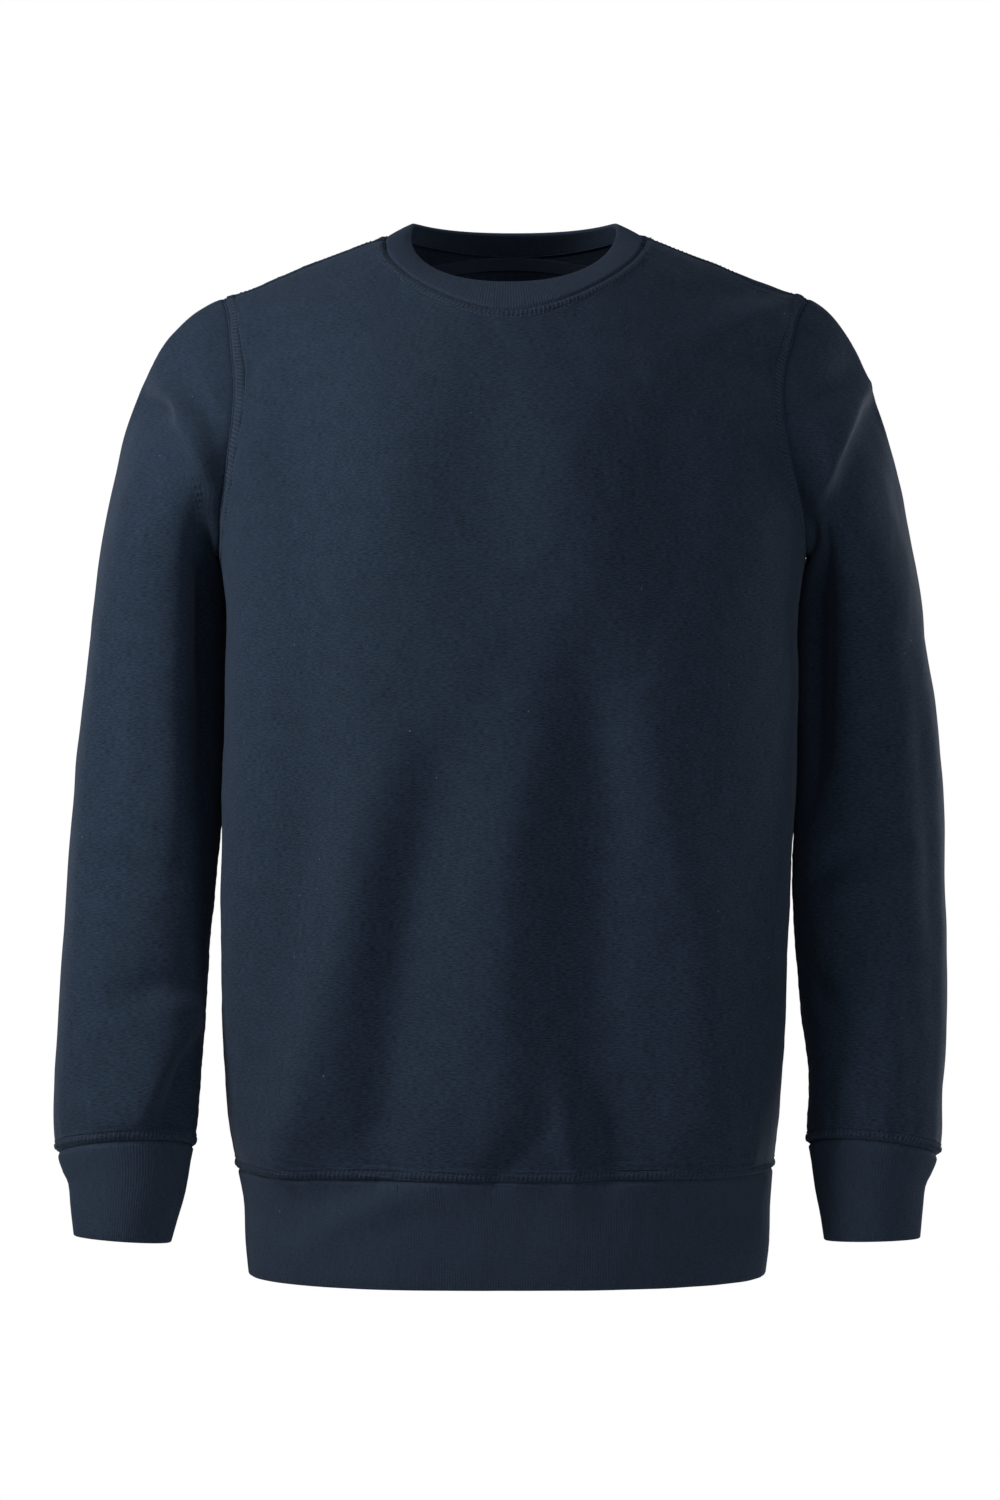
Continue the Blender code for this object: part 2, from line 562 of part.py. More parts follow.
def make_sleeve(side_name, rows, folds, fleece, rib):
    """A sleeve and its cuff. The cap runs from the armhole to the first full ring of the arm."""
    mirrored = rows[0].centre_x < 0
    start, leave = armhole_ring(mirrored, CAPS[side_name].fullness)
    cap_end, cuff_start = rows[CAP_RING].height, rows[CUFF_RING].height
    end, course = sleeve_sections(rows, np.array([cap_end]))
    t = (np.arange(CAP_ROWS) / CAP_ROWS)[:, None, None]
    cap = (
        (2 * t**3 - 3 * t**2 + 1) * start
        + (t**3 - 2 * t**2 + t) * leave
        + (3 * t**2 - 2 * t**3) * end
        + (t**3 - t**2) * course[:, None] * CAPS[side_name].pull
    )
    arm = sleeve_sections(rows, np.linspace(cap_end, cuff_start, SLEEVE_ROWS + 1))[0]
    cuff = sleeve_sections(rows, np.linspace(cuff_start, rows[-1].height, CUFF_ROWS + 1))[0]
    grid = np.concatenate([cap, arm, cuff[1:]])
    normals = grid_normals(grid, True) * (-1 if mirrored else 1)
    free = ease(0, FREE_ROWS, np.arange(len(grid)))[:, None, None]
    grid = grid + (folded(grid, normals, folds) - grid) * free
    seam = CAP_ROWS + SLEEVE_ROWS
    half = SEAM_GAP / 2
    for name, part, thickness, outer_margins, inner_margins, material in (
        ("sleeve_", np.s_[seam::-1], CLOTH, {"bottom": half}, {"bottom": half, "top": ARMHOLE_BEVEL}, fleece),
        ("cuff_", np.s_[: seam - 1 : -1], RIB, {"top": half}, {"top": half}, rib),
    ):
        outer = drawn_in(grid[part], outer_margins)
        inner = drawn_in((grid - normals * thickness)[part], inner_margins)
        order = np.s_[:] if mirrored else np.s_[:, ::-1]
        wall(name + side_name, outer[order], inner[order], True, material)


def main():
    for stale in list(bpy.data.objects):
        bpy.data.objects.remove(stale, do_unlink=True)
    fleece = knit("fleece", (0.020, 0.033, 0.058), 0.95)
    rib = knit("rib_knit", (0.022, 0.035, 0.060), 0.90)
    tape = knit("neck_tape", (0.016, 0.024, 0.042), 0.85)
    wall("front", *panel_wall(ARMHOLE_FRONT, 1), False, fleece)
    wall("back", *panel_wall(ARMHOLE_BACK, -1), False, fleece)
    make_sleeve("left", SLEEVE_LEFT, LEFT_FOLDS, fleece, rib)
    make_sleeve("right", SLEEVE_RIGHT, RIGHT_FOLDS, fleece, rib)
    make_waistband(rib)
    make_neckband(rib)
    make_neck_tape(tape)


main()
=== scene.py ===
# %% [markdown]
# # A crewneck sweatshirt, worn by nobody
# The garment keeps the shape that it has on a wearer, but there is no wearer, so every piece is a thin sheet
# of knitted cloth round an empty space. A maker cuts nine pieces: front, back, two sleeves, two cuffs, a
# waistband, a neckband and a narrow tape for the back of the neck. Here each piece starts as a flat grid,
# which stands for the cut cloth, and is then laid on the form of the worn garment. The solids of the garment
# come in first. They stay fixed and tell each piece where it belongs.

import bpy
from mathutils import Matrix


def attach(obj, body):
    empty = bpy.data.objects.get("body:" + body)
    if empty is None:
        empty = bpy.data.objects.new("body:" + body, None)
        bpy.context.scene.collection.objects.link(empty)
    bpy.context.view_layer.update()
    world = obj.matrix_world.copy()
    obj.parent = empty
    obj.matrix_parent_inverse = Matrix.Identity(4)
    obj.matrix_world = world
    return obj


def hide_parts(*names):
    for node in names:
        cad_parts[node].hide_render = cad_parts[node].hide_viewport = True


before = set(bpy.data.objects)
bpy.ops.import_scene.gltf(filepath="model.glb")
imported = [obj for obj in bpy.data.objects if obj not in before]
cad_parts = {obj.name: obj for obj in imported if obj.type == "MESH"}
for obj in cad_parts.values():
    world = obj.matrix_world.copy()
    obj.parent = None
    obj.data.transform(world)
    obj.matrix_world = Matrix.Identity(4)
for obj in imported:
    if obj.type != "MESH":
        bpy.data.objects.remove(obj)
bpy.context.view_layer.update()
print("solids:", ", ".join(sorted(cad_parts)))

# %% Modules and names
from collections import namedtuple
from math import pi

import bpy
import numpy as np
from mathutils import Vector
from mathutils.kdtree import KDTree

scene = bpy.context.scene
scene.view_settings.view_transform = "Standard"
FRAME_HEIGHT = 1500  # pixels

# %% [markdown]
# ## Camera
# A long lens from three metres away, level with the middle of the garment, keeps its sides nearly parallel,
# as in a catalogue. The garment is a little off the centre of the frame, so the camera stands a little to one
# side, which needs no lens shift.

# %% Camera
METRES_PER_PIXEL = 0.00069  # across the garment's middle
CAMERA_DISTANCE = 3.0
CAMERA_X, CAMERA_Z = -0.0069, -0.347
SENSOR = 36.0

camera_data = bpy.data.cameras.new("camera")
camera_data.sensor_fit = "AUTO"
camera_data.sensor_width = SENSOR
camera_data.lens = SENSOR * CAMERA_DISTANCE / (METRES_PER_PIXEL * FRAME_HEIGHT)
camera = bpy.data.objects.new("camera", camera_data)
camera.location = (CAMERA_X, -CAMERA_DISTANCE, CAMERA_Z)
camera.rotation_euler = (pi / 2, 0, 0)
scene.collection.objects.link(camera)
scene.camera = camera
print("lens", round(camera_data.lens, 1), "mm")

# %% [markdown]
# ## Floor and light
# Dark cloth needs large soft lights. The main one stands at the left and in front, so the folds show a lit
# and a shaded flank. A wide one at the right and another high in front fill the shadows. Narrow ones at the
# right, behind the right and behind the left draw thin bright edges down the sleeves, and a small one above
# at the left lights the shoulders. The background is plain white, and its own light on the cloth is kept low,
# because a strong even light would flatten the folds.

# %% Floor and light
FLOOR_Z = -1.5
bpy.ops.object.select_all(action="DESELECT")
bpy.ops.mesh.primitive_circle_add(vertices=96, radius=2.4, fill_type="NGON", location=(0, 0, FLOOR_Z))
floor = bpy.context.active_object
floor.name = "floor"
floor.data.transform(floor.matrix_world)
floor.matrix_world.identity()

LightRow = namedtuple("LightRow", "name x y z width height power")
LIGHTS = (
    LightRow("key", -0.88, -0.50, 0.02, 0.3, 0.95, 9.4),
    LightRow("fill", 1.10, -1.60, -0.20, 0.6, 1.4, 8.3),
    LightRow("front", 0.20, -2.40, 0.60, 1.2, 1.0, 6.0),
    LightRow("edge_right", 1.00, 0.35, -0.20, 0.3, 1.0, 3.0),
    LightRow("edge_behind", 1.25, 1.50, -0.45, 0.4, 0.9, 10.0),
    LightRow("edge_left", -1.30, 1.40, -0.30, 0.4, 1.2, 6.0),
    LightRow("top", -0.60, -0.55, 1.00, 0.5, 0.4, 2.6),
)
AIM = Vector((0, 0, -0.32))
for row in LIGHTS:
    light = bpy.data.lights.new(row.name, "AREA")
    light.shape = "RECTANGLE"
    light.size, light.size_y, light.energy = row.width, row.height, row.power
    lamp = bpy.data.objects.new(row.name, light)
    lamp.location = (row.x, row.y, row.z)
    lamp.rotation_euler = (AIM - lamp.location).to_track_quat("-Z", "Y").to_euler()
    scene.collection.objects.link(lamp)
print(len(LIGHTS), "lights")

# %% White surroundings
AMBIENT = 0.06
world = bpy.data.worlds.new("surroundings")
scene.world = world
world.use_nodes = True
nodes, links = world.node_tree.nodes, world.node_tree.links
seen = nodes["Background"]
seen.inputs["Color"].default_value = (1, 1, 1, 1)
seen.inputs["Strength"].default_value = 1.0
lighting = nodes.new("ShaderNodeBackground")
lighting.inputs["Color"].default_value = (0.96, 0.98, 1, 1)
lighting.inputs["Strength"].default_value = AMBIENT
path, mix = nodes.new("ShaderNodeLightPath"), nodes.new("ShaderNodeMixShader")
links.new(path.outputs["Is Camera Ray"], mix.inputs["Fac"])
links.new(lighting.outputs[0], mix.inputs[1])
links.new(seen.outputs[0], mix.inputs[2])
links.new(mix.outputs[0], nodes["World Output"].inputs["Surface"])

# %% [markdown]
# ## Reading sizes from tables
# A worn garment changes shape slowly from top to bottom, so a maker's table of a few rows describes it. These
# helpers read a column of such a table and draw a smooth curve through it. Each row of the cloth then finds
# its own width and depth, however fine the cloth is.

# %% Curves through tables
def along(rows, name):
    return np.array([getattr(row, name) for row in rows], float)


def through(knots, values, at):
    """The smooth curve through the values at the knots, read at the places given."""
    slopes = np.gradient(values, knots)
    at = np.asarray(at, float)
    low = np.clip(np.searchsorted(knots, at) - 1, 0, len(knots) - 2)
    width = knots[low + 1] - knots[low]
    t = (at - knots[low]) / width
    return (
        (2 * t**3 - 3 * t**2 + 1) * values[low]
        + (t**3 - 2 * t**2 + t) * width * slopes[low]
        + (3 * t**2 - 2 * t**3) * values[low + 1]
        + (t**3 - t**2) * width * slopes[low + 1]
    )


def ease(low, high, at):
    t = np.clip((at - low) / (high - low), 0, 1)
    return t * t * (3 - 2 * t)


def unit(vectors):
    return vectors / np.maximum(np.linalg.norm(vectors, axis=-1, keepdims=True), 1e-12)


def square_to(one, two):
    """Unit vectors square to both fields."""
    return unit(np.cross(one, two))


def oval(angle, squareness):
    """Cosine and sine of an oval that squareness makes boxier."""
    cosine, sine = np.cos(angle), np.sin(angle)
    radius = (np.abs(cosine) ** squareness + np.abs(sine) ** squareness) ** (1 / squareness)
    return cosine / radius, sine / radius


# %% [markdown]
# ## Sizes of the garment
# These are the sizes that a pattern cutter would write down: how thick the cloth is, how the shoulders slope,
# how wide and deep the neck is cut and how far down the hem lies. They are the sizes of the solids, so each
# piece lands where its solid is, but for two. The right sleeve is up to 2 mm fuller at its outer edge than
# its solid, and the neck tape runs on past the ends of its solid.

# %% Sizes
CLOTH = 0.0020  # brushed fleece
RIB = 0.0028  # two layers of rib knit
TAPE = 0.0010
SEAM_GAP = 0.0003

SHOULDER_RISE = 0.0256  # ridge height at the middle of the neck
SHOULDER_SLOPE = 0.408
SHOULDER_ROUND = 0.06  # how softly the ridge turns down beside the neck
SHOULDER_SEAM_LEVEL = 0.055  # square root of the drop in metres
SHOULDER_POINT_ANGLE = 24.0
SHOULDER_SHARE = 7 / 32  # of a panel's top edge

NECK_CENTRE = 0.0030
NECK_LEAN = 0.0045
NECK_HALF_WIDTH = 0.0890
NECK_FRONT_HEIGHT = -0.0525
NECK_BACK_DROP = 0.0214
NECK_SQUARENESS = 1.8
NECKBAND_HALF_WIDTH = 0.0705
NECKBAND_HALF_DEPTH = 0.0680
NECKBAND_CENTRE_Y = -0.0110
NECKBAND_SQUARENESS = 2.3
NECKBAND_HEIGHT = 0.0195
NECKBAND_BACK_DIP = 0.0022
NECKBAND_DIP_FROM = -0.0020
NECKBAND_DIP_SLOPE = 0.66
NECKBAND_DIP_ROUND = 0.012
NECKBAND_BULGE = 0.0005
NECK_TAPE_WIDTH = 0.0115

WAIST_SEAM_DROP = 0.6340
HEM_DROP = 0.7060
FULL_SLOPE_DROP = 0.18
LEVEL_DROP = 0.50
NECK_CROWDING = 1.2
CAP_RING, CUFF_RING = 3, 8  # rows of the sleeve tables
CAP_SHARE = 0.40  # of the rows of a sleeve

# %% Shape tables
# ---- shape tables: one row for each height ----
# drop: below the ridge; front, back: depth at the centre; squareness: 2 is an oval, more is boxier
TorsoRow = namedtuple("TorsoRow", "drop half_width front back squareness centre_x")
TORSO = (
    TorsoRow(0.000, 0.222, 0.000, 0.000, 2.0, 0.0035),
    TorsoRow(0.003, 0.221, 0.020, 0.033, 2.0, 0.0035),
    TorsoRow(0.013, 0.220, 0.042, 0.067, 2.0, 0.0025),
    TorsoRow(0.035, 0.218, 0.070, 0.089, 2.1, 0.0008),
    TorsoRow(0.070, 0.216, 0.096, 0.107, 2.3, -0.0012),
    TorsoRow(0.115, 0.212, 0.118, 0.121, 2.5, -0.0010),
    TorsoRow(0.160, 0.204, 0.130, 0.129, 2.5, 0.0015),
    TorsoRow(0.215, 0.197, 0.136, 0.131, 2.5, 0.0015),
    TorsoRow(0.300, 0.197, 0.136, 0.126, 2.5, 0.0008),
    TorsoRow(0.380, 0.1965, 0.132, 0.119, 2.5, -0.0015),
    TorsoRow(0.460, 0.1955, 0.128, 0.116, 2.5, -0.0035),
    TorsoRow(0.540, 0.1930, 0.126, 0.117, 2.5, -0.0040),
    TorsoRow(0.600, 0.1890, 0.125, 0.118, 2.5, -0.0045),
    TorsoRow(0.634, 0.1840, 0.121, 0.116, 2.5, -0.0035),
    TorsoRow(0.658, 0.1810, 0.1185, 0.1145, 2.5, -0.0025),
    TorsoRow(0.685, 0.1800, 0.1180, 0.1140, 2.5, -0.0020),
    TorsoRow(0.706, 0.1780, 0.1165, 0.1130, 2.5, -0.0020),
)

# the armhole, from the underarm point to the shoulder point, as angle round the body and drop
ArmholeRow = namedtuple("ArmholeRow", "angle drop")
ARMHOLE_FRONT = (
    ArmholeRow(0.0, 0.1790),
    ArmholeRow(11.0, 0.1740),
    ArmholeRow(20.0, 0.1530),
    ArmholeRow(28.0, 0.1330),
    ArmholeRow(33.5, 0.1010),
    ArmholeRow(33.5, 0.0680),
    ArmholeRow(29.0, 0.0340),
)
ARMHOLE_BACK = (
    ArmholeRow(0, 0.1790),
    ArmholeRow(10, 0.1740),
    ArmholeRow(18, 0.1480),
    ArmholeRow(26, 0.1080),
    ArmholeRow(30, 0.0720),
    ArmholeRow(30, 0.0350),
    ArmholeRow(27, 0.0060),
)

# sleeves from the shoulder down: centre, half sizes across and front to back, squareness
SleeveRow = namedtuple("SleeveRow", "height centre_x centre_y half_width half_depth squareness")
SLEEVE_LEFT = (
    SleeveRow(-0.060, 0.2180, 0.006, 0.0340, 0.070, 2.2),
    SleeveRow(-0.130, 0.2320, 0.013, 0.0380, 0.070, 2.2),
    SleeveRow(-0.200, 0.2387, 0.024, 0.0410, 0.068, 2.2),
    SleeveRow(-0.270, 0.2436, 0.030, 0.0453, 0.066, 2.3),
    SleeveRow(-0.354, 0.2488, 0.029, 0.0505, 0.062, 2.3),
    SleeveRow(-0.437, 0.2485, 0.014, 0.0525, 0.059, 2.2),
    SleeveRow(-0.520, 0.2500, -0.006, 0.0500, 0.055, 2.1),
    SleeveRow(-0.575, 0.2505, -0.021, 0.0458, 0.051, 2.1),
    SleeveRow(-0.620, 0.2478, -0.031, 0.0443, 0.047, 2.0),
    SleeveRow(-0.640, 0.2455, -0.035, 0.0385, 0.041, 2.0),
    SleeveRow(-0.660, 0.2460, -0.038, 0.0350, 0.037, 2.0),
    SleeveRow(-0.680, 0.2465, -0.039, 0.0325, 0.035, 2.0),
)
SLEEVE_RIGHT = (
    SleeveRow(-0.060, -0.2150, 0.006, 0.0340, 0.070, 2.2),
    SleeveRow(-0.130, -0.2300, 0.013, 0.0380, 0.070, 2.2),
    SleeveRow(-0.200, -0.2387, 0.024, 0.0410, 0.068, 2.2),
    SleeveRow(-0.270, -0.2440, 0.030, 0.0470, 0.066, 2.3),
    SleeveRow(-0.354, -0.2496, 0.029, 0.0516, 0.062, 2.3),
    SleeveRow(-0.437, -0.2550, 0.014, 0.0510, 0.059, 2.2),
    SleeveRow(-0.520, -0.2600, -0.006, 0.0503, 0.055, 2.1),
    SleeveRow(-0.575, -0.2618, -0.021, 0.0495, 0.051, 2.1),
    SleeveRow(-0.620, -0.2625, -0.031, 0.0465, 0.047, 2.0),
    SleeveRow(-0.640, -0.2610, -0.035, 0.0410, 0.041, 2.0),
    SleeveRow(-0.660, -0.2625, -0.038, 0.0370, 0.037, 2.0),
    SleeveRow(-0.680, -0.2640, -0.039, 0.0330, 0.035, 2.0),
)

# how the sleeve leaves the armhole: round it from the shoulder (0) over the front or back to the underarm
# (180), as reach out, forward and up
LeaveRow = namedtuple("LeaveRow", "around out forward up")
SLEEVE_LEAVES = (
    LeaveRow(0, 0.150, 0.000, -0.048),
    LeaveRow(45, 0.120, 0.020, -0.060),
    LeaveRow(90, 0.085, 0.020, -0.060),
    LeaveRow(135, 0.050, 0.010, -0.040),
    LeaveRow(180, 0.030, 0.000, -0.006),
)
ARMHOLE_BEVEL = 0.0011  # more room behind the armhole seam

# fullness: how far the top of the cap reaches out; pull: how firmly the cap follows the arm where it ends
Cap = namedtuple("Cap", "fullness pull")
CAPS = {"left": Cap(0.96, 0.17), "right": Cap(1.27, 0.24)}


# %% [markdown]
# ## The torso's form
# The body of the garment is one smooth form. Two numbers find any point on it: the angle round the body, 0 at
# the left side seam and pi at the right one, and the level, the square root of the drop below the shoulder
# ridge. The level is negative behind the ridge, so a panel can run from the front over the shoulder without a
# jump.

# %% Torso
TORSO_LEVELS = np.sqrt(along(TORSO, "drop"))


def ridge(x):
    return SHOULDER_RISE - SHOULDER_SLOPE * (np.hypot(x, SHOULDER_ROUND) - SHOULDER_ROUND)


def torso(angle, level):
    angle, level = np.broadcast_arrays(np.asarray(angle, float), np.asarray(level, float))
    depth = np.abs(level)
    drop = depth**2
    size = {name: through(TORSO_LEVELS, along(TORSO, name), depth) for name in TorsoRow._fields[1:]}
    cosine, sine = oval(angle, size["squareness"])
    x = size["half_width"] * cosine
    y = np.where(level > 0, -size["front"], size["back"]) * sine
    z = ridge(x) * (1 - ease(FULL_SLOPE_DROP, LEVEL_DROP, drop)) - drop
    return np.stack([x + size["centre_x"], y, z], -1)


def torso_normals(angle, level, step=0.002):
    around = torso(angle + step, level) - torso(angle - step, level)
    down = torso(angle, level + step) - torso(angle, level - step)
    return square_to(around, down)


def angle_at(x, level):
    """Angle at which the torso reaches x at this level."""
    depth = np.abs(level)
    size = {name: through(TORSO_LEVELS, along(TORSO, name), depth) for name in TorsoRow._fields[1:]}
    cosine = (x - size["centre_x"]) / size["half_width"]
    sine = np.clip(1 - np.abs(cosine) ** size["squareness"], 0, 1) ** (1 / size["squareness"])
    return np.arctan2(sine, cosine)


print("chest depth", round(float(torso(pi / 2, -0.46)[1] - torso(pi / 2, 0.46)[1]), 3), "m")

# %% [markdown]
# ## Cutting lines
# A panel is bounded by seams: the side seam and the armhole at each side, the shoulder seams and the neckline
# on top. Each is a line of angles and levels over the form. Two pieces that meet read the same line, so they
# fit.

# %% Armhole, side and neck
def armhole_line(rows, side, share):
    """Angle and level along the left armhole, share 0 at the underarm and 1 at the shoulder point.

    The side is 1 in front and -1 behind.
    """
    angles = np.append(along(rows, "angle"), SHOULDER_POINT_ANGLE)
    levels = np.append(side * np.sqrt(along(rows, "drop")), SHOULDER_SEAM_LEVEL)
    steps = np.linalg.norm(np.diff(torso(np.radians(angles), levels), axis=0), axis=1)
    knots = np.append(0, np.cumsum(steps)) / steps.sum()
    return np.radians(through(knots, angles, share)), through(knots, levels, share)


def side_line(rows, side, up):
    """The lower half of up runs along the side seam and the upper half round the armhole."""
    bottom, underarm = WAIST_SEAM_DROP**0.5, rows[0].drop ** 0.5
    seam = side * (bottom + (underarm - bottom) * np.clip(2 * up, 0, 1))
    angle, level = armhole_line(rows, side, np.clip(2 * up - 1, 0, 1))
    return np.where(up < 0.5, 0, angle), np.where(up < 0.5, seam, level)


def neck_line(side, share):
    cosine, sine = oval(pi * np.asarray(share, float), NECK_SQUARENESS)
    sine = np.clip(sine, 0, 1)
    x = NECK_CENTRE + NECK_HALF_WIDTH * cosine
    if side > 0:
        x = x - NECK_LEAN * sine
        height = ridge(x) - SHOULDER_SEAM_LEVEL**2
        height = height + (NECK_FRONT_HEIGHT - height) * sine
        level = np.sqrt(ridge(x) - height)
    else:
        level = SHOULDER_SEAM_LEVEL - (SHOULDER_SEAM_LEVEL + NECK_BACK_DROP**0.5) * sine
    return angle_at(x, level), level


def top_line(side, across):
    """Left shoulder seam, neckline, right shoulder seam."""
    angle, level = neck_line(side, np.clip((across - SHOULDER_SHARE) / (1 - 2 * SHOULDER_SHARE), 0, 1))
    point = np.radians(SHOULDER_POINT_ANGLE)
    from_left, from_right = across / SHOULDER_SHARE, (1 - across) / SHOULDER_SHARE
    angle = np.where(from_left < 1, point + (angle - point) * from_left, angle)
    angle = np.where(from_right < 1, pi - point + (angle - pi + point) * from_right, angle)
    return angle, np.where(np.minimum(from_left, from_right) < 1, SHOULDER_SEAM_LEVEL, level)


# %% The cut of a panel
def panel_cut(rows, side, across, up):
    """Angle and level of each grid point, from the waistband up and from the left side to the right."""
    side_angle, side_level = (part[:, None] for part in side_line(rows, side, up))
    top_angle, top_level = top_line(side, across)
    bottom = side * WAIST_SEAM_DROP**0.5
    middle_top = top_line(side, np.array([0.5]))[1][0]
    share = np.linspace(0, 1, 200)
    line = torso(pi / 2, middle_top + (bottom - middle_top) * share)
    length = np.append(0, np.cumsum(np.linalg.norm(np.diff(line, axis=0), axis=1)))
    at_centre = np.interp((1 - up) ** NECK_CROWDING * length[-1], length, share)[:, None]
    at_side = (side_level - SHOULDER_SEAM_LEVEL) / (bottom - SHOULDER_SEAM_LEVEL)
    near_side = (2 * across - 1) ** 2
    progress = at_side * near_side + at_centre * (1 - near_side)
    level = top_level + (bottom - top_level) * progress
    top_share = (top_angle - top_angle[0]) / (top_angle[-1] - top_angle[0])
    share = across + (top_share - across) * (1 - at_centre) ** 2
    return side_angle + (pi - 2 * side_angle) * share, level
